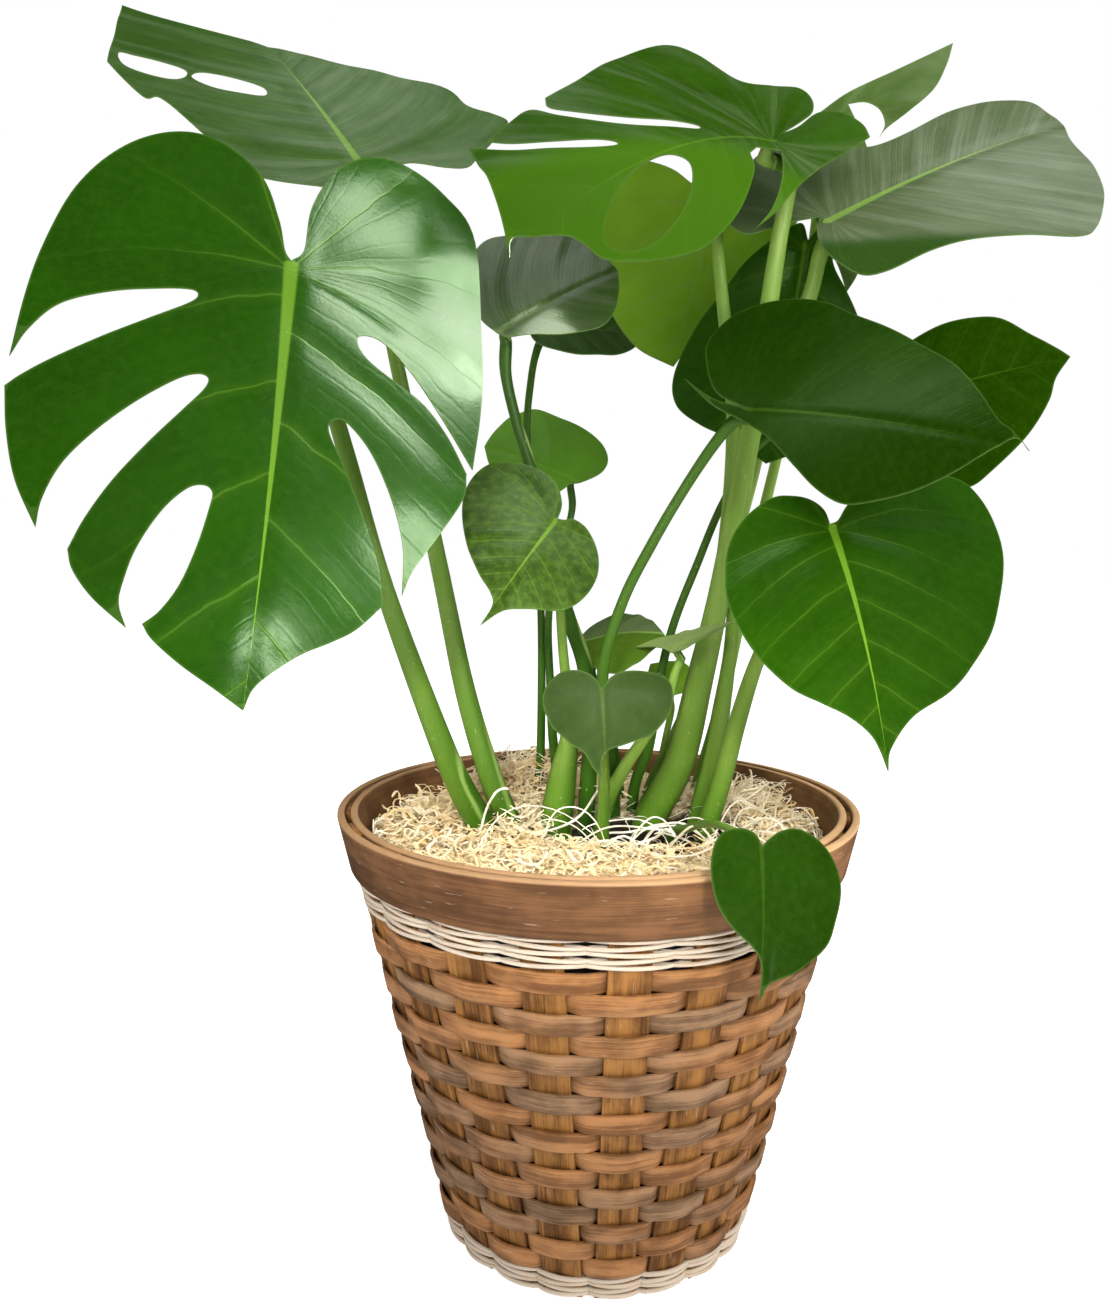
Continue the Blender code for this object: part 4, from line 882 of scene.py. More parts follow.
# Each blade is placed as it stands in the front view: column and row from the top left corner, then how
# far behind the basket's axis, in metres. A third value of 1 marks a corner of the outline. Face is -1
# where the underside shows. Bend is the slope and curl of the half that beside lies in, the same for the
# other half, the arch from junction to tip, and how much the lobes behind the junction drop.
BLADES = {
    "01_front_left": {
        "junction": (291, 270, -0.090),
        "tip": (243, 711, -0.150),
        "beside": (482, 350, -0.062),
        "bend": (-0.10, -0.9, -0.10, -0.9, 0.25, 0.6),
        "outline": [
            (291, 261, 1), (285, 250), (279, 219), (261, 175), (217, 140), (170, 132), (119, 148),
            (75, 187), (43, 246), (24, 298), (9, 355, 1), (28, 328), (60, 303), (110, 291), (160, 288),
            (190, 289), (198, 294), (190, 302), (150, 317), (100, 336), (50, 358), (20, 374), (4, 385, 1),
            (6, 430), (15, 480), (35, 527, 1), (42, 498), (62, 463), (95, 431), (135, 402), (175, 380),
            (197, 374), (208, 378), (204, 389), (182, 410), (148, 442), (112, 480), (84, 518), (67, 549, 1),
            (72, 570), (92, 598), (126, 628, 1), (119, 605), (122, 585), (136, 548), (161, 511), (186, 489),
            (203, 485), (212, 492), (209, 508), (197, 545), (180, 583), (160, 610), (142, 624, 1),
            (152, 640), (180, 665), (215, 690), (243, 711, 1), (257, 685), (297, 657), (330, 643),
            (356, 630), (383, 606, 1), (379, 570), (366, 525), (346, 472), (329, 432), (334, 420),
            (348, 424), (372, 455), (393, 505), (403, 550), (402, 596, 1), (412, 572), (430, 547),
            (463, 500), (467, 474, 1), (448, 437), (424, 405), (395, 382), (369, 361), (358, 345),
            (361, 336), (382, 342), (412, 374), (443, 420), (473, 470, 1), (480, 416), (482, 357),
            (475, 243), (443, 195), (403, 165), (368, 158), (336, 171), (312, 207), (304, 250),
        ],
    },
    "02_back_left": {
        "junction": (357, 158, 0.035),
        "tip": (268, 46, 0.090),
        "beside": (122, 5, 0.080),
        "bend": (-0.05, -0.4, -0.05, -0.4, 0.08, 0.0),
        "outline": [
            (350, 176, 1), (340, 186), (318, 186), (258, 177), (225, 152), (190, 122), (160, 98), (143, 97),
            (107, 61, 1), (114, 35), (122, 5, 1), (150, 14), (200, 28), (268, 46, 1), (350, 66), (440, 87),
            (467, 105), (492, 113), (508, 122), (498, 136), (478, 158), (467, 168), (445, 168), (410, 163),
            (380, 172), (362, 178),
        ],
        "holes": [
            [(119, 53), (135, 56), (160, 62), (184, 70), (186, 77), (172, 79), (145, 73), (123, 64)],
            [(192, 78), (200, 73), (225, 76), (255, 84), (266, 90), (264, 96), (240, 93), (212, 87)],
        ],
    },
    "03_top_centre": {
        "junction": (772, 140, 0.000),
        "tip": (509, 256, -0.090),
        "beside": (640, 55, 0.055),
        "bend": (0.05, -0.3, -0.40, -1.5, 0.45, 0.0),
        "outline": [
            (781, 134, 1), (802, 121), (813, 111), (811, 98), (798, 88), (772, 86), (738, 81), (696, 55),
            (666, 46), (632, 53), (602, 66), (568, 85), (545, 99, 1), (549, 108), (575, 112), (625, 117),
            (670, 120), (697, 125), (698, 129), (672, 127), (620, 124), (560, 116), (530, 111), (508, 124),
            (486, 141, 1), (512, 143), (550, 141), (592, 139), (614, 141), (616, 145), (592, 147),
            (550, 148), (512, 150), (469, 148, 1), (478, 165), (487, 177), (497, 204), (504, 230),
            (509, 256, 1), (513, 238), (540, 236), (568, 236), (585, 245), (604, 259), (640, 262),
            (679, 256), (708, 245), (738, 213), (754, 172), (750, 153, 1), (757, 147, 1), (770, 149),
            (781, 151, 1), (783, 166), (780, 188), (771, 210), (755, 229, 1), (776, 212), (796, 189),
            (822, 167), (848, 152), (870, 137, 1), (862, 124), (842, 113), (818, 113), (798, 127),
        ],
        "holes": [
            [(645, 162), (668, 154), (690, 163), (691, 190), (679, 217), (655, 243), (628, 252), (606, 244),
             (605, 222), (615, 195), (630, 175)],
        ],
    },
    "04_top_behind": {
        "junction": (825, 140, 0.085),
        "tip": (847, 292, 0.075),
        "beside": (930, 80, 0.095),
        "bend": (-0.1, -0.5, -0.1, -0.5, 0.2, 0.0),
        "outline": [
            (819, 113, 1), (849, 92), (900, 68), (953, 43, 1), (947, 64), (934, 89), (909, 111), (887, 128),
            (879, 138, 1), (885, 124), (880, 109), (866, 102), (848, 104, 1), (860, 130), (872, 165),
            (874, 210), (866, 250), (857, 275), (847, 292, 1), (838, 266), (822, 235), (808, 195),
            (802, 155), (808, 128),
        ],
    },
    "05_backlit": {
        "junction": (716, 212, 0.075),
        "tip": (673, 367, 0.088),
        "beside": (800, 230, 0.085),
        "face": -1,
        "bend": (-0.1, -0.5, -0.1, -0.5, 0.2, 0.0),
        "outline": [
            (716, 203, 1), (704, 192), (690, 182), (676, 171), (660, 164), (642, 161), (622, 170),
            (604, 194), (593, 228), (594, 262), (603, 290), (614, 318), (637, 348), (673, 367, 1),
            (700, 332), (728, 294), (748, 265), (772, 243), (796, 224), (799, 204), (780, 184), (750, 182),
            (728, 192),
        ],
    },
    "06_top_right": {
        "junction": (831, 219, 0.020),
        "tip": (1064, 124, 0.100),
        "beside": (1100, 210, 0.040),
        "bend": (-0.05, -0.8, 0.0, -0.5, 0.12, 0.0),
        "outline": [
            (820, 217, 1), (797, 221), (771, 228), (751, 234), (738, 231), (729, 221), (733, 200),
            (742, 176), (757, 156), (780, 149), (812, 147), (842, 149), (875, 146), (909, 132), (951, 111),
            (990, 102), (1028, 102), (1050, 115), (1064, 124, 1), (1071, 141), (1096, 170), (1104, 200),
            (1096, 228), (1079, 236), (1028, 234), (973, 239), (930, 251), (887, 271), (862, 275),
            (838, 262), (823, 248), (817, 232),
        ],
    },
    "07_dark_middle": {
        "junction": (804, 250, 0.048),
        "tip": (766, 464, 0.058),
        "beside": (862, 330, 0.055),
        "bend": (-0.1, -0.5, -0.1, -0.5, 0.15, 0.0),
        "outline": [
            (808, 240, 1), (803, 224), (792, 226), (771, 240), (746, 261), (724, 290), (696, 327),
            (674, 374), (676, 405), (700, 425), (732, 440), (766, 464, 1), (806, 448), (842, 420),
            (862, 385), (866, 345), (857, 315), (846, 290), (834, 266), (830, 240), (822, 226),
        ],
    },
    "08_big_right": {
        "junction": (752, 409, -0.050),
        "tip": (1030, 450, -0.105),
        "beside": (820, 303, -0.030),
        "bend": (-0.15, -0.6, -0.05, -1.2, 0.20, 0.0),
        "outline": [
            (745, 408, 1), (716, 392), (706, 362), (710, 338), (738, 313), (781, 301), (823, 302),
            (857, 315), (909, 338), (951, 362), (977, 388), (998, 419), (1012, 430), (1030, 450, 1),
            (1016, 438), (994, 448), (951, 474), (908, 493), (866, 503), (840, 503), (815, 488), (793, 465),
            (768, 438), (742, 421), (712, 405), (685, 379, 1), (714, 399),
        ],
    },
    "09_dark_right": {
        "junction": (905, 398, 0.000),
        "tip": (1071, 356, -0.010),
        "beside": (965, 485, -0.020),
        "bend": (-0.1, -0.5, -0.1, -0.5, 0.15, 0.0),
        "outline": [
            (897, 398, 1), (890, 385), (893, 358), (915, 338), (951, 322), (994, 317), (1036, 337),
            (1071, 356, 1), (1056, 378), (1049, 401), (1028, 435), (994, 469), (970, 487), (945, 484),
            (915, 465), (893, 435), (888, 412),
        ],
    },
    "10_right_heart": {
        "junction": (834, 531, -0.075),
        "tip": (889, 772, -0.115),
        "beside": (1000, 560, -0.070),
        "bend": (-0.15, -0.9, -0.15, -0.9, 0.25, 0.4),
        "outline": [
            (830, 524, 1), (824, 510), (811, 500), (794, 496), (772, 498), (747, 516), (730, 542),
            (725, 572), (730, 610), (755, 653), (789, 687), (823, 704), (849, 717), (870, 734), (881, 752),
            (889, 772, 1), (892, 748), (913, 717), (951, 691), (981, 653), (998, 610), (1003, 563),
            (994, 525), (977, 495), (955, 478), (915, 474), (875, 484), (850, 502), (838, 520),
        ],
    },
    "11_rim_heart": {
        "junction": (762, 851, -0.129),
        "tip": (760, 1002, -0.158),
        "beside": (838, 890, -0.128),
        "bend": (-0.15, -1.5, -0.15, -1.5, 0.20, 0.5),
        "outline": [
            (762, 846, 1), (757, 836), (749, 830), (738, 828), (723, 832), (713, 848), (711, 874),
            (717, 904), (734, 930), (751, 946), (762, 965), (760, 1002, 1), (770, 984), (793, 974),
            (819, 955), (834, 929), (840, 891), (834, 861), (819, 840), (798, 829), (781, 831), (769, 839),
        ],
    },
    "12_front_heart": {
        "junction": (602, 693, -0.085),
        "tip": (607, 785, -0.105),
        "beside": (672, 700, -0.085),
        "bend": (-0.10, -2.0, -0.10, -2.0, 0.15, 0.5),
        "outline": [
            (601, 688, 1), (597, 680), (589, 674), (576, 670), (559, 673), (546, 687), (543, 704),
            (551, 725), (568, 742), (584, 753), (593, 768), (607, 785, 1), (602, 768), (606, 752),
            (627, 744), (653, 734), (670, 712), (673, 691), (666, 678), (649, 672), (627, 671), (612, 676),
            (605, 685),
        ],
    },
    "13_left_heart": {
        "junction": (553, 524, -0.050),
        "tip": (480, 625, -0.085),
        "beside": (594, 565, -0.058),
        "bend": (-0.15, -1.5, -0.15, -1.5, 0.20, 0.5),
        "outline": [
            (558, 519, 1), (562, 503), (555, 482), (534, 467), (508, 462), (487, 465), (470, 482),
            (462, 508), (466, 542), (478, 572), (490, 592), (492, 605), (480, 625, 1), (503, 611),
            (525, 609), (563, 610), (585, 597), (597, 576), (597, 550), (587, 529), (573, 519), (565, 520),
        ],
    },
    "14_back_heart": {
        "junction": (571, 478, 0.085),
        "tip": (484, 446, 0.110),
        "beside": (540, 412, 0.130),
        "bend": (-0.10, -1.0, -0.10, -1.0, 0.15, 0.5),
        "outline": [
            (570, 484, 1), (582, 482), (602, 472), (608, 457), (598, 440), (568, 421), (531, 410),
            (502, 424), (484, 446, 1), (492, 470), (515, 492), (545, 500), (562, 490),
        ],
    },
    "15_grey_heart": {
        "junction": (503, 330, -0.030),
        "tip": (618, 270, 0.000),
        "beside": (565, 334, -0.035),
        "bend": (-0.10, -1.0, 0.0, -0.6, 0.12, 0.5),
        "outline": [
            (497, 333, 1), (480, 318), (468, 290), (470, 262), (485, 241), (512, 235), (568, 236),
            (596, 249), (618, 270, 1), (619, 290), (614, 312), (598, 328), (564, 334), (530, 334),
            (508, 337),
        ],
    },
    "16_behind_grey": {
        "junction": (545, 325, 0.095),
        "tip": (645, 338, 0.110),
        "beside": (595, 354, 0.085),
        "bend": (-0.10, -1.0, -0.10, -1.0, 0.15, 0.5),
        "outline": [
            (538, 324, 1), (530, 332), (538, 343), (560, 351), (598, 355), (627, 352), (645, 338, 1),
            (635, 305), (605, 285), (570, 284), (545, 298), (537, 312),
        ],
    },
    "17_curled": {
        "junction": (590, 650, 0.030),
        "tip": (667, 637, 0.020),
        "beside": (620, 673, 0.010),
        "bend": (-0.10, -2.0, -0.30, -6.0, 0.30, 0.5),
        "outline": [
            (583, 652, 1), (580, 638), (596, 623), (623, 614), (649, 619), (667, 637, 1), (653, 650),
            (636, 664), (617, 673), (600, 671), (588, 662),
        ],
    },
    "18_edge_on": {
        "junction": (674, 648, -0.014),
        "tip": (736, 620, -0.022),
        "beside": (695, 630, -0.005),
        "bend": (0.0, 0.0, 0.0, 0.0, 0.10, 0.0),
        "outline": [
            (672, 653, 1), (660, 648), (636, 648, 1), (661, 638), (695, 629), (736, 620, 1), (705, 637),
            (686, 648),
        ],
    },
    "19_small_olive": {
        "junction": (670, 690, 0.050),
        "tip": (650, 664, 0.055),
        "beside": (688, 668, 0.055),
        "face": -1,
        "bend": (0.0, 0.0, 0.0, 0.0, 0.10, 0.0),
        "outline": [
            (670, 696, 1), (656, 688), (648, 676), (650, 664, 1), (668, 661), (686, 664), (692, 678),
            (684, 692),
        ],
    },
}

LEAF_THICK = 0.0006
# The side veins of the second half leave the midrib this share of a step further on.
OTHER_HALF = 0.45
# What every leaf has unless it says otherwise: side veins from junction to tip, where the first one
# starts and the angle at which it leaves the midrib, how pale the side veins and the midrib are, half the
# midrib's width at the junction, how deep and wide the veins' grooves are, how dull and how shiny the face
# is, how much it is mottled, the tint of its gloss, how strong its painted sheen streaks are, and the line
# in the front view where it is folded over, with how softly, the colour below that line, which paints the
# light and shade of the part bent over, and how strong the painted highlight along the line is.
PLAIN_LEAF = dict(
    veins=5.0, first=0.2, lean=76.0, pale=0.20, rib=0.0014, rib_pale=0.55, sunk=0.0004, groove=0.0055,
    dull=0.33, shine=0.4, mottle=0.2, gloss=(0.60, 1.0, 0.35), sheen_streak=0.0, fold=None, bent_over=0.012,
    below=(0.0, 0.0, 0.0), painted_fold_highlight=0.0,
)
LEAF_LOOKS = {
    "01": dict(
        green=(0.013, 0.071, 0.0002), veins=4.3, first=0.27, pale=0.19, rib=0.0040, rib_pale=0.75,
        sunk=0.0010, groove=0.0075, dull=0.27, shine=0.55, gloss=(0.80, 1.0, 0.68),
    ),
    "02": dict(
        green=(0.034, 0.094, 0.0090), pale=0.10, rib=0.0030, rib_pale=0.6, sunk=0.0011, groove=0.0075,
        dull=0.42, gloss=(1.0, 1.0, 0.9), sheen_streak=0.22,
    ),
    "03": dict(
        green=(0.026, 0.084, 0.0016), pale=0.06, rib=0.0018, rib_pale=0.25, sunk=0.0009, groove=0.0080,
        shine=0.04, sheen_streak=0.20, fold=((480, 168), (760, 150)), bent_over=0.25,
        below=(0.045, 0.130, 0.0030),
    ),
    "04": dict(green=(0.066, 0.116, 0.0210), pale=0.08, rib_pale=0.2, dull=0.42, sheen_streak=0.25),
    "05": dict(green=(0.105, 0.215, 0.0020), pale=0.15, rib_pale=0.4, dull=0.55, shine=0.3),
    # The top right leaf's green is paler and greyer to paint its sheen; past its fold it has its own darker
    # green.
    "06": dict(
        green=(0.078, 0.112, 0.0430), veins=8.0, lean=56.0, pale=0.03, rib=0.0026, rib_pale=0.7, sunk=0.0003,
        shine=0.34, gloss=(1.0, 1.0, 0.95), sheen_streak=0.34, fold=((795, 238), (985, 232)), bent_over=0.11,
        below=(0.020, 0.060, 0.0035),
    ),
    "07": dict(green=(0.012, 0.050, 0.0009), pale=0.10, rib_pale=0.3, shine=0.3),
    "08": dict(green=(0.0088, 0.035, 0.0003), veins=4.6, pale=0.01, rib_pale=0.14, sunk=0.0002, shine=0.04),
    "09": dict(green=(0.012, 0.043, 0.0002), pale=0.03, rib_pale=0.2, sunk=0.0003, shine=0.0),
    "10": dict(
        green=(0.0135, 0.061, 0.0005), veins=5.5, pale=0.12, rib=0.0024, rib_pale=0.8, sunk=0.0009,
        groove=0.0070, shine=0.14,
    ),
    "11": dict(
        green=(0.0100, 0.038, 0.0007), pale=0.0, rib_pale=0.08, sunk=0.0, dull=0.26, shine=0.2,
        gloss=(0.9, 1.0, 0.8),
    ),
    "12": dict(
        green=(0.024, 0.044, 0.0085), pale=0.01, rib_pale=0.10, sunk=0.0001, dull=0.45, shine=0.2,
        gloss=(0.9, 1.0, 0.8),
    ),
    "13": dict(
        green=(0.019, 0.039, 0.0038), veins=6.0, pale=0.12, sunk=0.0008, groove=0.0065, dull=0.34, shine=0.2,
        mottle=1.0,
    ),
    "14": dict(green=(0.160, 0.370, 0.0320), pale=0.08, rib_pale=0.3, shine=0.2),
    "15": dict(
        green=(0.026, 0.070, 0.0020), veins=6.0, pale=0.04, rib_pale=0.25, gloss=(1.0, 1.0, 0.9),
        sheen_streak=0.15,
    ),
    "16": dict(green=(0.015, 0.043, 0.0023), pale=0.10, rib_pale=0.3, dull=0.45),
    "17": dict(
        green=(0.125, 0.180, 0.0700), pale=0.05, rib_pale=0.1, shine=0.2, fold=((583, 641), (662, 634)),
        below=(0.070, 0.140, 0.0070), painted_fold_highlight=0.8,
    ),
    "18": dict(green=(0.330, 0.430, 0.1400), pale=0.10, rib_pale=0.3, dull=0.45, shine=0.2),
    "19": dict(green=(0.420, 0.500, 0.1600), pale=0.10, rib_pale=0.3, dull=0.45, shine=0.2),
}


def sight(column, row):
    """Direction from the eye through one place of the front view."""
    forward = np.array([
        -math.sin(LOOK_LEFT) * math.cos(LOOK_DOWN),
        math.cos(LOOK_LEFT) * math.cos(LOOK_DOWN),
        -math.sin(LOOK_DOWN),
    ])
    right = np.array([math.cos(LOOK_LEFT), math.sin(LOOK_LEFT), 0.0])
    up = np.cross(right, forward)
    sideways = right * (column - VIEW_MIDDLE[0]) / VIEW_SCALE
    return forward + sideways - up * (row - VIEW_MIDDLE[1]) / VIEW_SCALE


def seen(column, row, depth):
    """Point at this place of the front view, this far behind the basket's axis."""
    line = sight(column, row)
    return EYE + line * (depth - EYE[1]) / line[1]


def smooth_through(points, closed, steps=8):
    """Even curve through the points."""
    points = [np.array(p, float) for p in points]
    count = len(points)
    found = []
    for i in range(count if closed else count - 1):
        if closed:
            a, b, c, d = (points[(i + k) % count] for k in (-1, 0, 1, 2))
        else:
            b, c = points[i], points[i + 1]
            a = points[i - 1] if i > 0 else 2 * b - c
            d = points[i + 2] if i + 2 < count else 2 * c - b
        for step in range(steps):
            t = step / steps
            found.append(0.5 * (
                2 * b + (c - a) * t + (2 * a - 5 * b + 4 * c - d) * t * t + (3 * b - a - 3 * c + d) * t ** 3
            ))
    if not closed:
        found.append(points[-1])
    return found


def smooth_outline(points):
    """The outline as one closed line, smooth between its corners."""
    corners = [i for i, p in enumerate(points) if len(p) > 2]
    flat = [p[:2] for p in points]
    if not corners:
        return smooth_through(flat, True)
    line = []
    for here, there in zip(corners, corners[1:] + [corners[0] + len(flat)]):
        run = [flat[i % len(flat)] for i in range(here, there + 1)]
        line += smooth_through(run, False)[:-1]
    return line


class Blade:
    """The bent surface of one leaf: x beside the midrib, y along it, from the junction."""

    def __init__(self, leaf):
        self.origin = seen(*leaf["junction"])
        tip = seen(*leaf["tip"])
        beside = seen(*leaf["beside"])
        self.length = np.linalg.norm(tip - self.origin)
        self.along = (tip - self.origin) / self.length
        across = beside - self.origin
        across = across - self.along * across.dot(self.along)
        self.across = across / np.linalg.norm(across)
        self.up = np.cross(self.across, self.along)
        if self.up.dot(EYE - self.origin) * leaf.get("face", 1) < 0:
            self.up = -self.up
        self.bend = leaf["bend"]

    def height(self, x, y):
        slope, curl, other_slope, other_curl, arch, drop = self.bend
        away = np.sqrt(x * x + 0.000036) - 0.006
        side = np.where(x > 0, slope * away + curl * away ** 2, other_slope * away + other_curl * away ** 2)
        along = y / self.length
        behind = np.minimum(along, 0.0)
        rise = np.where(along > 0, along * (1 - along), behind * np.exp(8 * behind))
        return side + arch * self.length * rise - drop * (behind * self.length) ** 2

    def place(self, x, y):
        x, y = np.atleast_1d(x), np.atleast_1d(y)
        flat = self.origin + np.outer(x, self.across) + np.outer(y, self.along)
        return flat + np.outer(self.height(x, y), self.up)

    def normal(self, x, y):
        e = 0.0005
        a = self.place(x + e, y) - self.place(x - e, y)
        b = self.place(x, y + e) - self.place(x, y - e)
        n = np.cross(a, b)
        n /= np.linalg.norm(n, axis=1)[:, None]
        return n * np.sign(n @ self.up)[:, None]

    def under(self, column, row):
        """Where the surface shows at this place of the front view, as (x, y) on the blade."""
        line = sight(column, row)

        def miss(t):
            p = EYE + line * t - self.origin
            x, y = p.dot(self.across), p.dot(self.along)
            return p.dot(self.up) - float(self.height(x, y)), x, y

        t = (self.origin - EYE).dot(self.up) / line.dot(self.up)
        for _ in range(40):
            gap, x, y = miss(t)
            slope = (miss(t + 1e-5)[0] - gap) / 1e-5
            if abs(gap) < 1e-7 or abs(slope) < 1e-4:
                break
            t -= max(-0.02, min(0.02, gap / slope))
        return (x, y)

    def vein_place(self, x, y, spacing, lean):
        """Where each point lies in the row of side veins: 0 is the first one, and below 0 they spread
        backwards from the junction into the lobes."""
        low, high = np.full(x.shape, -1.0), np.full(x.shape, 1.3)
        side = np.abs(x) + 1e-6
        for _ in range(24):
            s = (low + high) / 2
            angle = np.radians(np.where(s < 0, lean - 92.0 * s, lean - 30.0 * s))
            start = np.maximum(s, 0.0) * self.length * 0.94
            ahead = y - start - side / np.tan(angle) - 0.55 * side ** 2 / self.length > 0
            low, high = np.where(ahead, s, low), np.where(ahead, high, s)
        return np.where(low < 0, low * 3.0, low * spacing)


def inside(points, loops):
    """Which points lie in the outline and in none of its holes."""
    odd = np.zeros(len(points), bool)
    x, y = points[:, 0], points[:, 1]
    for loop in loops:
        for (ax, ay), (bx, by) in zip(loop, np.roll(loop, -1, axis=0)):
            if ay != by:
                odd ^= ((ay > y) != (by > y)) & (x < (bx - ax) * (y - ay) / (by - ay) + ax)
    return odd


def from_edge(points, loops):
    """How far each point lies from the outline or a hole."""
    far = np.full(len(points), 1.0)
    for loop in loops:
        for a, b in zip(loop, np.roll(loop, -1, axis=0)):
            run = b - a
            t = np.clip((points - a) @ run / max(run @ run, 1e-12), 0.0, 1.0)
            far = np.minimum(far, np.linalg.norm(points - a - np.outer(t, run), axis=1))
    return far


def even_loop(line, spacing):
    """The closed line with points about this far apart, its corners kept."""
    line = np.array(line)
    kept = [line[0]]
    for point in line[1:]:
        if np.linalg.norm(point - kept[-1]) >= spacing * 0.6:
            kept.append(point)
    if np.linalg.norm(kept[-1] - kept[0]) < spacing * 0.4:
        kept.pop()
    return np.array(kept)


def leaf_net(blade, leaf, step):
    """Triangles of the flat blade, with a row of points along the midrib."""
    loops = []
    for outline in [leaf["outline"]] + leaf.get("holes", []):
        line = [blade.under(column, row) for column, row in smooth_outline(outline)]
        loops.append(even_loop(line, step * 0.3))
    border = np.concatenate(loops)
    edges = []
    start = 0
    for loop in loops:
        edges += [(start + i, start + (i + 1) % len(loop)) for i in range(len(loop))]
        start += len(loop)
    rib = np.array([(0.0, y) for y in np.arange(0.0, blade.length * 0.985, step)])
    shown = inside(rib, loops) & (from_edge(rib, loops) > step * 0.35)
    points = list(border)
    before = None
    for spot, good in zip(rib, shown):
        if good:
            points.append(spot)
            if before is not None:
                edges.append((before, len(points) - 1))
        before = len(points) - 1 if good else None
    low, high = border.min(axis=0), border.max(axis=0)
    rows = np.arange(low[1], high[1], step * 0.87)
    grid = []
    for i, y in enumerate(rows):
        columns = (np.arange(int(low[0] / step) - 1, int(high[0] / step) + 2) + 0.5 * (i % 2) + 0.25) * step
        grid.append(np.stack([columns, np.full(len(columns), y)], axis=1))
    grid = np.concatenate(grid)
    grid = grid[inside(grid, loops)]
    grid = grid[from_edge(grid, loops) > step * 0.42]
    near_rib = (np.abs(grid[:, 0]) < step * 0.45) & (grid[:, 1] > -step) & (grid[:, 1] < blade.length)
    points = np.concatenate([np.array(points), grid[~near_rib]])
    made = delaunay_2d_cdt([Vector(p) for p in points], edges, [], 0, 1e-7)
    flat = np.array([tuple(p) for p in made[0]])
    faces = np.array([tuple(face) for face in made[2]])
    corners = flat[faces]
    a, b = corners[:, 1] - corners[:, 0], corners[:, 2] - corners[:, 0]
    wide = np.abs(a[:, 0] * b[:, 1] - a[:, 1] * b[:, 0]) > 1e-9
    faces = faces[wide & inside(corners.mean(axis=1), loops)]
    used = np.unique(faces)
    place = np.full(len(flat), -1)
    place[used] = np.arange(len(used))
    return flat[used], place[faces], loops


def vein_relief(blade, look, x, y, edge):
    """How far the face lies in or out: sunk veins and midrib, swelling between them, a wave at the edge.
    Gives each point's place in the row of veins too, and how wide the space between two veins is there."""
    e = 0.0008
    count = blade.vein_place(x, y, look["veins"], look["lean"])
    beyond = blade.vein_place(x + np.sign(x + 1e-9) * e, y, look["veins"], look["lean"])
    ahead = blade.vein_place(x, y + e, look["veins"], look["lean"])
    steep = np.hypot(beyond - count, ahead - count) / e
    gap = np.clip(1.0 / np.maximum(steep, 1e-3), 0.0, 0.08)
    across = count + look["first"] + np.where(x > 0, 0.0, OTHER_HALF)
    from_vein = np.abs(across - np.round(across)) * gap
    swell = -look["sunk"] * np.exp(-(from_vein / look["groove"]) ** 2)
    swell *= np.clip(np.abs(x) / 0.012, 0.0, 1.0) * np.clip(edge / 0.008, 0.1, 1.0)
    sunk = -0.0009 * np.exp(-(x / (look["rib"] + 0.001)) ** 2) * (y > -0.002)
    out = np.clip(np.abs(x) / (0.4 * blade.length), 0, 1) ** 2
    wave = 0.0005 * np.sin(np.pi * across * 1.1 + blade.length * 40) * out
    return swell + sunk + wave, count, gap


def blade_mesh(name, blade, x, y, faces, lift):
    """An upper and a lower face joined round the border, each of the three with its own material."""
    middle, n = blade.place(x, y), blade.normal(x, y)
    total = len(x)
    edges = np.concatenate([faces[:, [0, 1]], faces[:, [1, 2]], faces[:, [2, 0]]])
    known = {(int(a), int(b)) for a, b in edges}
    border = [(a, b) for a, b in known if (b, a) not in known]
    solid = faces.tolist() + [(c + total, b + total, a + total) for a, b, c in faces.tolist()]
    solid += [(b, a, a + total, b + total) for a, b in border]
    sides = [middle + n * (lift + half)[:, None] for half in (LEAF_THICK / 2, -LEAF_THICK / 2)]
    mesh = bpy.data.meshes.new(name)
    mesh.from_pydata(np.concatenate(sides).tolist(), [], solid)
    work = bmesh.new()
    work.from_mesh(mesh)
    bmesh.ops.recalc_face_normals(work, faces=work.faces)
    work.to_mesh(mesh)
    work.free()
    mesh.polygons.foreach_set("material_index", [0] * len(faces) + [1] * len(faces) + [2] * len(border))
    return mesh


def lay_maps(mesh, look, x, y, count, gap):
    """One map has the place in the row of veins and the space between two, the other the flat blade."""
    corner = np.empty(len(mesh.loops), np.int32)
    mesh.loops.foreach_get("vertex_index", corner)
    corner %= len(x)
    starts = np.empty(len(mesh.polygons), np.int32)
    mesh.polygons.foreach_get("loop_start", starts)
    corners = np.diff(np.append(starts, len(corner)))
    right = np.repeat(np.add.reduceat(x[corner], starts) > 0, corners)
    across = count[corner] + look["first"] + np.where(right, 0.0, OTHER_HALF)
    for title, values in (("veins", (across, gap[corner] * 10)), ("laid_flat", (x[corner], y[corner]))):
        laid = mesh.uv_layers.new(name=title)
        laid.data.foreach_set("uv", np.stack(values, axis=1).astype(np.float32).ravel())


def past_fold(blade, look, x, y):
    """0 before the line where the leaf is folded over and 1 beyond it, with a rise between."""
    if not look["fold"]:
        return np.zeros(len(x))
    left, right = (np.array(blade.under(*spot)) for spot in look["fold"])
    run = (right - left) / np.linalg.norm(right - left)
    column, row = look["fold"][0]
    below = np.array(blade.under(column, row + 20)) - left
    side = np.sign(below[1] * run[0] - below[0] * run[1])
    past = side * ((y - left[1]) * run[0] - (x - left[0]) * run[1])
    return np.clip(0.5 + past / look["bent_over"], 0.0, 1.0)


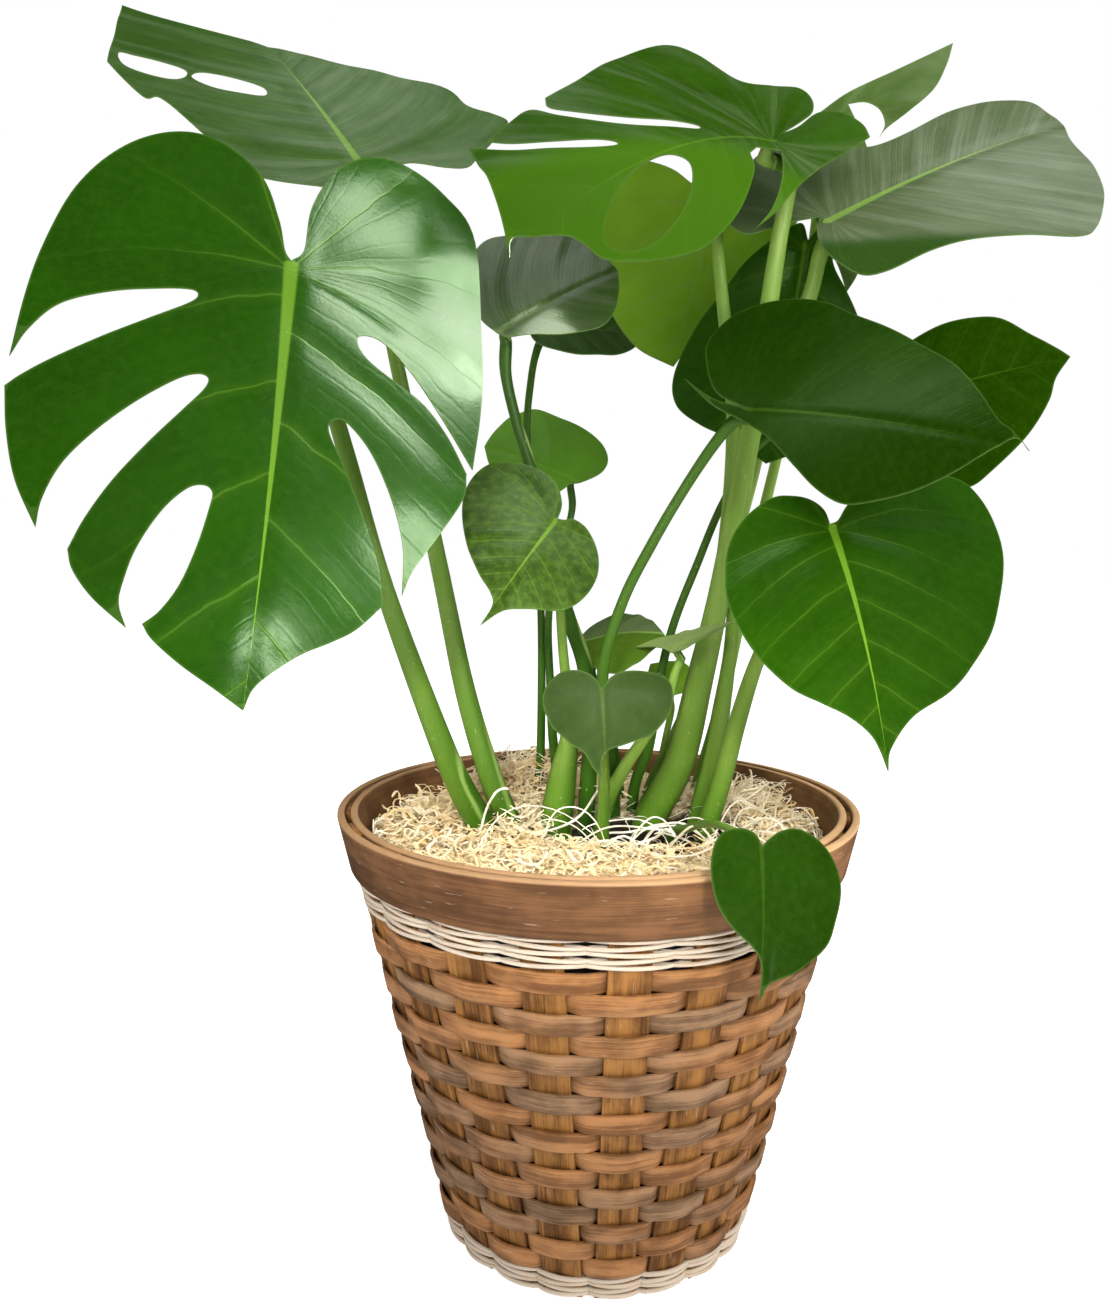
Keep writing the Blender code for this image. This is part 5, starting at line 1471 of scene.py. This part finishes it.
def leaf_piece(name, leaf):
    """One blade with its relief, its maps and the values that the pattern reads."""
    look = PLAIN_LEAF | LEAF_LOOKS[name[:2]]
    blade = Blade(leaf)
    step = min(0.0040, max(0.0018, blade.length / 60))
    flat, faces, loops = leaf_net(blade, leaf, step)
    x, y = flat[:, 0], flat[:, 1]
    edge = from_edge(flat, loops)
    lift, count, gap = vein_relief(blade, look, x, y, edge)
    mesh = blade_mesh("blade_" + name, blade, x, y, faces, lift)
    lay_maps(mesh, look, x, y, count, gap)
    rib = look["rib"] * np.clip(1.0 - y / blade.length, 0.10, 1.0) ** 1.6
    rib = np.where(y < -0.004, 0.0, rib)
    for title, values in (("from_edge", edge), ("rib_width", rib), ("fold", past_fold(blade, look, x, y))):
        carry(mesh, title, np.concatenate([values, values]).astype(np.float32))
    piece = bpy.data.objects.new("blade_" + name, mesh)
    bpy.context.scene.collection.objects.link(piece)
    select_alone(piece)
    bpy.ops.object.shade_smooth_by_angle(angle=math.radians(50))
    return piece, blade, look


def leaf_veins():
    """The pattern of a blade: midrib, side veins, finer veins between them, the pale edge, painted sheen,
    and painted light at a fold.
    """
    group, takes, gives = new_group(
        "leaf_veins",
        [("Blade", "Color"), ("Vein", "Color"), ("Edge", "Color"), ("Pale", "Float"), ("Rib", "Float"),
         ("Dull", "Float"), ("Mottle", "Float"), ("Sheen Streak", "Float"), ("Below", "Color"),
         ("Painted Fold Highlight", "Float")],
        [("Color", "Color"), ("Roughness", "Float"), ("Height", "Float")],
    )
    row = node(group, "SeparateXYZ", {0: node(group, "UVMap", {}, uv_map="veins").outputs[0]}).outputs
    flat_map = node(group, "UVMap", {}, uv_map="laid_flat").outputs[0]
    flat = node(group, "SeparateXYZ", {0: flat_map}).outputs
    gap = times(group, row["Y"], 0.1)
    beside = sums(group, "ABSOLUTE", flat["X"])
    bent = stretched_noise(group, flat_map, (38.0, 38.0, 1.0), 2.0)
    across = sums(group, "ADD", row["X"], times(group, sums(group, "SUBTRACT", bent, 0.5), 0.16))
    off = sums(group, "SUBTRACT", across, sums(group, "ROUND", across))
    from_vein = times(group, sums(group, "ABSOLUTE", off), gap)
    thin = sums(group, "SUBTRACT", 0.00085, times(group, beside, 0.0065))
    thin = sums(group, "MAXIMUM", thin, 0.00022)
    vein = rest_of(group, soft_step(group, from_vein, times(group, thin, 0.3), thin))
    halo = rest_of(group, soft_step(group, from_vein, 0.0, times(group, thin, 7.0)))
    fading = rest_of(group, times(group, soft_step(group, beside, 0.015, 0.065), 0.85))
    finer = times(group, across, 5.0)
    finer_off = sums(group, "ABSOLUTE", sums(group, "SUBTRACT", finer, sums(group, "ROUND", finer)))
    fine = rest_of(group, soft_step(group, finer_off, 0.02, 0.16))
    rib_width = carried(group, "rib_width")
    rib = rest_of(group, soft_step(group, beside, times(group, rib_width, 0.55), rib_width))
    rib = times(group, rib, soft_step(group, rib_width, 0.00001, 0.0001))
    edge = rest_of(group, soft_step(group, carried(group, "from_edge"), 0.0003, 0.0010))
    patches = stretched_noise(group, flat_map, (26.0, 26.0, 1.0), 3.0)
    mottled = stretched_noise(group, flat_map, (240.0, 240.0, 1.0), 4.0, 0.6)
    mottled = soft_step(group, mottled, 0.42, 0.62)
    cell = {"Vector": flat_map, "Scale": 420.0}
    cells = node(group, "TexVoronoi", cell, feature="DISTANCE_TO_EDGE").outputs[0]
    net = rest_of(group, soft_step(group, cells, 0.0, 0.16))
    # Painted sheen: streaks of pale grey laid over the green stand for the sky mirrored in the face.
    streak_place = node(group, "CombineXYZ", {0: times(group, across, 2.4), 1: times(group, beside, 11.0)})
    streaks = stretched_noise(group, streak_place.outputs[0], (1.0, 1.0, 1.0), 3.0, 0.6)
    streaks = soft_step(group, streaks, 0.42, 0.68)
    painted_sheen = blend_colours(group, 0.5, takes["Blade"], (0.40, 0.44, 0.32))
    # Past the fold line another colour paints the light and shade of the bent-over part, and a pale band
    # along the line is a painted highlight.
    fold = carried(group, "fold")
    from_fold = sums(group, "ABSOLUTE", sums(group, "SUBTRACT", fold, 0.46))
    fold_highlight_band = rest_of(group, soft_step(group, from_fold, 0.02, 0.09))
    paler = blend_colours(group, 0.30, takes["Blade"], takes["Vein"])
    darker = tinted(group, takes["Blade"], (0.70, 0.76, 0.60))
    colour = blend_colours(group, soft_step(group, patches, 0.3, 0.75), takes["Blade"], darker)
    for share, laid_over in (
        (times(group, mottled, times(group, takes["Mottle"], 0.5)), paler),
        (times(group, streaks, takes["Sheen Streak"]), painted_sheen),
        (soft_step(group, fold, 0.48, 0.56), takes["Below"]),
        (times(group, fold_highlight_band, takes["Painted Fold Highlight"]), takes["Vein"]),
        (times(group, net, 0.05), paler),
        (times(group, fine, 0.04), paler),
        (times(group, times(group, halo, fading), takes["Pale"]), paler),
        (times(group, times(group, vein, fading), takes["Pale"]), takes["Vein"]),
        (times(group, rib, takes["Rib"]), takes["Vein"]),
        (times(group, edge, 0.35), takes["Edge"]),
    ):
        colour = blend_colours(group, share, colour, laid_over)
    raised = times(group, vein, times(group, takes["Pale"], 2.0))
    height = sums(group, "SUBTRACT", times(group, cells, 0.25), raised)
    height = sums(group, "SUBTRACT", height, times(group, fine, 0.20))
    height = sums(group, "ADD", height, times(group, mottled, 0.10))
    rough = sums(group, "ADD", takes["Dull"], times(group, sums(group, "SUBTRACT", patches, 0.5), 0.18))
    rougher = between(group, soft_step(group, fold, 0.44, 0.60), rough, 0.80)
    return fill_outputs(group, gives, colour, rougher, height)


LEAF_VEINS = leaf_veins()


def leaf_material(name, colour, vein, edge, traits, through, glow, bump):
    """Waxy leaf: a glossy face over green flesh that lets some light through."""
    look = bpy.data.materials.new(name)
    look.use_nodes = True
    tree = look.node_tree
    shader = tree.nodes["Principled BSDF"]
    pattern = node(tree, "Group", {
        "Blade": colour, "Vein": vein, "Edge": edge, "Below": traits["below"], "Pale": traits["pale"],
        "Rib": traits["rib_pale"], "Dull": traits["dull"], "Mottle": traits["mottle"],
        "Sheen Streak": traits["sheen_streak"], "Painted Fold Highlight": traits["painted_fold_highlight"],
    }, node_tree=LEAF_VEINS)
    relief = node(tree, "Bump", {"Strength": bump, "Distance": 0.0006, "Height": pattern.outputs["Height"]})
    tree.links.new(pattern.outputs["Color"], shader.inputs["Base Color"])
    tree.links.new(pattern.outputs["Roughness"], shader.inputs["Roughness"])
    tree.links.new(relief.outputs[0], shader.inputs["Normal"])
    shader.inputs["IOR"].default_value = 1.45
    shader.inputs["Specular IOR Level"].default_value = traits["shine"]
    shader.inputs["Specular Tint"].default_value = (*traits["gloss"], 1.0)
    if traits["fold"]:
        turned_down = soft_step(tree, carried(tree, "fold"), 0.46, 0.60)
        gloss = blend_colours(tree, turned_down, traits["gloss"], (0.05, 0.05, 0.05))
        tree.links.new(gloss, shader.inputs["Specular Tint"])
    let_light_through(look, through, glow)
    return look


UNDER_LEAF = PLAIN_LEAF | dict(pale=0.3, dull=0.6, shine=0.25)
UNDER_VEIN = (0.26, 0.40, 0.10)
UNDER_EDGE = (0.20, 0.30, 0.09)
underside = {}
for kind, colour, glow in (
    ("leaf_green", (0.085, 0.185, 0.035), (0.24, 0.48, 0.01)),
    ("young_leaf_green", (0.26, 0.46, 0.028), (0.42, 0.80, 0.016)),
):
    underside[kind] = leaf_material(
        "under_" + kind, colour, UNDER_VEIN, UNDER_EDGE, UNDER_LEAF, 0.33, glow, 0.35,
    )
leaf_edge = bpy.data.materials.new("leaf_cut_edge")
leaf_edge.use_nodes = True
edge_tree = leaf_edge.node_tree
edge_noise = stretched_noise(edge_tree, object_place(edge_tree), (300.0, 300.0, 300.0))
edge_colour = blend_colours(edge_tree, edge_noise, (0.07, 0.15, 0.02), (0.16, 0.26, 0.06))
edge_tree.links.new(edge_colour, edge_tree.nodes["Principled BSDF"].inputs["Base Color"])
edge_tree.nodes["Principled BSDF"].inputs["Roughness"].default_value = 0.45

leaf_surfaces = {}
for name, leaf in BLADES.items():
    key = name[:2]
    piece, blade, traits = leaf_piece(name, leaf)
    leaf_surfaces[key] = blade
    kind = "young_leaf_green" if key in ("05", "18", "19") else "leaf_green"
    green = traits["green"]
    vein = tuple(min(1.0, 0.7 * c + add) for c, add in zip(green, (0.16, 0.30, 0.02)))
    edge = tuple(0.6 * c + add for c, add in zip(green, (0.08, 0.15, 0.03)))
    face = leaf_material("face_" + name, green, vein, edge, traits, 0.12, (0.16, 0.42, 0.005), 0.30)
    for look in (face, underside[kind], leaf_edge):
        piece.data.materials.append(look)
    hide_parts("leaf_" + name)
    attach(piece, "root")


# The stalks: smooth round leaf stalks, light green and juicy, each with a slightly thicker knee under its
# blade. Towards the foot they widen to a sheath. Each is given by the blade that it holds and the points of
# its line from the wool upwards, with its radius in millimetres.
STALKS = {
    "01": [(487, 838, -0.010, 8.3), (463, 792, -0.018, 7.4), (440, 740, -0.028, 6.4),
           (385, 590, -0.050, 4.8), (348, 460, -0.064, 4.2), (318, 360, -0.074, 3.8)],
    "02": [(513, 836, 0.008, 7.3), (490, 775, 0.008, 6.6), (465, 690, 0.014, 5.8), (440, 570, 0.022, 5.0),
           (395, 355, 0.034, 4.0), (370, 230, 0.040, 3.5)],
    "03": [(650, 818, 0.022, 9.5), (679, 763, 0.018, 8.8), (700, 678, 0.012, 7.5), (721, 585, 0.008, 5.9),
           (751, 423, 0.005, 5.0), (770, 298, 0.005, 4.8), (779, 240, 0.007, 4.4), (788, 194, 0.011, 4.0),
           (792, 170, 0.014, 3.6)],
    "04": [(694, 803, 0.070, 4.5), (722, 700, 0.085, 4.0), (752, 560, 0.098, 3.6), (785, 420, 0.110, 3.2),
           (805, 300, 0.112, 3.0), (818, 200, 0.110, 2.8)],
    "05": [(668, 808, 0.046, 5.5), (690, 740, 0.040, 5.0), (712, 640, 0.036, 4.6), (728, 520, 0.031, 4.2),
           (733, 418, 0.022, 3.8), (725, 324, 0.014, 3.5), (718, 250, 0.018, 3.2)],
    "06": [(698, 827, 0.015, 6.5), (713, 763, 0.014, 6.2), (721, 712, 0.014, 5.0), (730, 652, 0.015, 3.7),
           (735, 585, 0.018, 3.5), (742, 516, 0.022, 3.4), (758, 422, 0.024, 3.3), (785, 352, 0.025, 4.2),
           (809, 298, 0.026, 4.2), (820, 255, 0.026, 4.0)],
    "07": [(648, 794, 0.066, 4.0), (690, 700, 0.068, 3.8), (730, 560, 0.072, 3.4), (757, 463, 0.078, 3.0),
           (780, 350, 0.074, 2.8)],
    "08": [(613, 802, 0.030, 4.2), (607, 740, 0.010, 3.8), (603, 670, -0.012, 3.2),
           (623, 601, -0.022, 2.8), (653, 542, -0.030, 2.7), (683, 491, -0.035, 2.6),
           (713, 446, -0.038, 2.8), (736, 420, -0.040, 3.0)],
    "09": [(634, 789, 0.038, 3.4), (649, 746, 0.034, 3.0), (661, 674, 0.034, 2.6), (674, 623, 0.034, 2.4),
           (696, 567, 0.036, 2.3), (725, 499, 0.039, 2.2), (765, 440, 0.038, 2.1), (840, 408, 0.022, 2.0)],
    "10": [(706, 832, -0.002, 6.0), (722, 780, -0.006, 5.4), (738, 720, -0.014, 4.8),
           (759, 657, -0.028, 3.8), (790, 600, -0.044, 3.2), (818, 555, -0.060, 2.8)],
    "11": [(672, 836, -0.012, 3.0), (686, 829, -0.034, 2.4), (702, 824, -0.062, 2.0),
           (722, 826, -0.090, 1.8), (745, 838, -0.114, 1.8)],
    "12": [(603, 824, -0.022, 3.4), (604, 780, -0.036, 3.0), (603, 740, -0.054, 2.4),
           (602, 712, -0.070, 2.0)],
    "13": [(556, 826, 0.000, 9.0), (563, 775, 0.000, 7.6), (569, 738, 0.000, 5.0), (568, 700, -0.004, 3.2),
           (563, 650, -0.014, 2.6), (559, 590, -0.028, 2.3), (557, 552, -0.038, 2.2)],
    "14": [(560, 796, 0.050, 3.2), (553, 740, 0.052, 2.8), (550, 680, 0.056, 2.4), (549, 612, 0.062, 2.2),
           (562, 550, 0.074, 2.1), (572, 510, 0.086, 2.0)],
    "15": [(586, 815, 0.012, 5.0), (590, 740, 0.014, 4.6), (585, 668, 0.010, 4.4), (566, 610, 0.004, 4.0),
           (546, 530, -0.004, 3.4), (529, 461, -0.012, 3.0), (516, 420, -0.018, 2.8),
           (506, 375, -0.024, 2.8)],
    "16": [(538, 792, 0.056, 2.8), (541, 740, 0.058, 2.6), (541, 612, 0.064, 2.3), (534, 520, 0.068, 2.2),
           (527, 435, 0.074, 2.2), (531, 380, 0.084, 2.2), (537, 350, 0.092, 2.2)],
    "17": [(620, 798, 0.052, 3.0), (612, 740, 0.048, 2.6), (600, 695, 0.044, 2.2), (592, 672, 0.040, 2.0)],
    "18": [(604, 812, -0.001, 4.4), (622, 772, -0.006, 3.8), (645, 737, -0.009, 3.2),
           (666, 705, -0.011, 2.7), (675, 674, -0.013, 2.2)],
    "19": [(655, 798, 0.052, 2.4), (664, 745, 0.050, 2.0), (671, 712, 0.049, 1.8)],
}
STALK_FOOT = 0.186
UNDER_BLADE = 0.0012
DARK_STALKS = ("08", "09", "14", "15", "16", "17")


def stalk_piece(name):
    """One round stalk from its foot in the soil to the underside of its blade, with a knee below it."""
    blade = leaf_surfaces[name[:2]]
    path = STALKS[name[:2]]
    places = [seen(*p[:3]) for p in path]
    radii = [p[3] / 1000 for p in path]
    lean = places[0] - places[1]
    drop = (places[0][2] - STALK_FOOT) / max(-lean[2], 1e-6)
    foot = places[0] + lean * drop
    foot[:2] = places[0][:2] + (foot[:2] - places[0][:2]) * 0.2
    n = blade.normal(0.0, 0.0)[0]
    end = blade.place(0.0, 0.0)[0] - n * UNDER_BLADE
    last = radii[-1]
    run = (places[-1] - end) / np.linalg.norm(places[-1] - end)
    away = -n if run.dot(-n) > 0.35 else run
    back = end + away * max(0.006, 2.2 * last)
    line = smooth_through([foot] + places + [back], False, 6) + [end + away * 0.0022, end]
    sizes = smooth_through([(r,) for r in [radii[0] * 0.9] + radii + [last]], False, 6)
    sizes = [size[0] for size in sizes] + [last * 0.95, last * 0.8]
    gone = 0.0
    for i in range(len(line) - 1, 0, -1):
        gone += np.linalg.norm(line[i] - line[i - 1])
        sizes[i - 1] *= 1.0 + 0.16 * math.exp(-((gone - 0.012) / 0.010) ** 2)
    piece = round_body("stem_" + name, line, 0.001, 4, False, [size * 1000 for size in sizes])
    piece.name = piece.data.name = "stem_" + name
    ring = len(piece.data.vertices) // len(line)
    side = np.zeros(len(piece.data.vertices))
    for number, point in enumerate(piece.data.vertices):
        away = np.array(point.co) - line[min(number // ring, len(line) - 1)]
        side[number] = away[0] / max(np.linalg.norm(away), 1e-6)
    carry(piece.data, "turned", side.astype(np.float32))
    return piece


def stalk_material(name, low, high):
    """Light green with fine lengthwise streaks, with painted shade on the right, at both edges and at the
    foot, and a painted highlight line.
    """

    def pattern(tree):
        place = object_place(tree)
        streaks = stretched_noise(tree, place, (520.0, 520.0, 14.0), 3.0)
        blots = stretched_noise(tree, place, (60.0, 60.0, 22.0), 2.0)
        level = node(tree, "SeparateXYZ", {0: place}).outputs["Z"]
        colour = blend_colours(tree, soft_step(tree, level, 0.20, 0.40), low, high)
        darker = tinted(tree, colour, (0.78, 0.90, 0.62))
        share = sums(tree, "ADD", times(tree, streaks, 0.6), times(tree, blots, 0.5))
        colour = blend_colours(tree, soft_step(tree, share, 0.40, 0.75), darker, colour)
        # Painted shade: the side facing right and both outer edges, as seen from the front, are darker.
        side = carried(tree, "turned")
        shaded = tinted(tree, colour, (0.24, 0.38, 0.12))
        colour = blend_colours(tree, soft_step(tree, side, -0.45, 0.80), colour, shaded)
        rim = times(tree, soft_step(tree, sums(tree, "ABSOLUTE", side), 0.74, 1.0), 0.85)
        colour = blend_colours(tree, rim, colour, tinted(tree, colour, (0.30, 0.44, 0.18)))
        # A painted highlight: a thin pale line down the right side.
        from_highlight_line = sums(tree, "ABSOLUTE", sums(tree, "SUBTRACT", side, 0.62))
        painted_highlight_line = rest_of(tree, soft_step(tree, from_highlight_line, 0.02, 0.12))
        colour = blend_colours(tree, times(tree, painted_highlight_line, 0.45), colour, (0.42, 0.56, 0.16))
        # Painted shade at the foot, where the wool and the other stalks shade it.
        foot_shade = rest_of(tree, soft_step(tree, level, 0.215, 0.262))
        deep = tinted(tree, colour, (0.36, 0.55, 0.16))
        colour = blend_colours(tree, times(tree, foot_shade, 0.75), colour, deep)
        specks = soft_step(tree, stretched_noise(tree, place, (700.0, 700.0, 300.0), 2.0), 0.66, 0.74)
        colour = blend_colours(tree, times(tree, specks, 0.25), colour, (0.60, 0.70, 0.34))
        return colour, between(tree, streaks, 0.34, 0.50), streaks

    return finish_material(name, pattern, bump=0.25)


pale_stalk = stalk_material("pale_stalk", (0.17, 0.285, 0.038), (0.28, 0.41, 0.085))
dark_stalk = stalk_material("dark_stalk", (0.06, 0.145, 0.013), (0.07, 0.155, 0.018))
for name in BLADES:
    stem = stalk_piece(name)
    dress(stem, dark_stalk if name[:2] in DARK_STALKS else pale_stalk)
    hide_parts("stalk_" + name)
    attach(stem, "root")
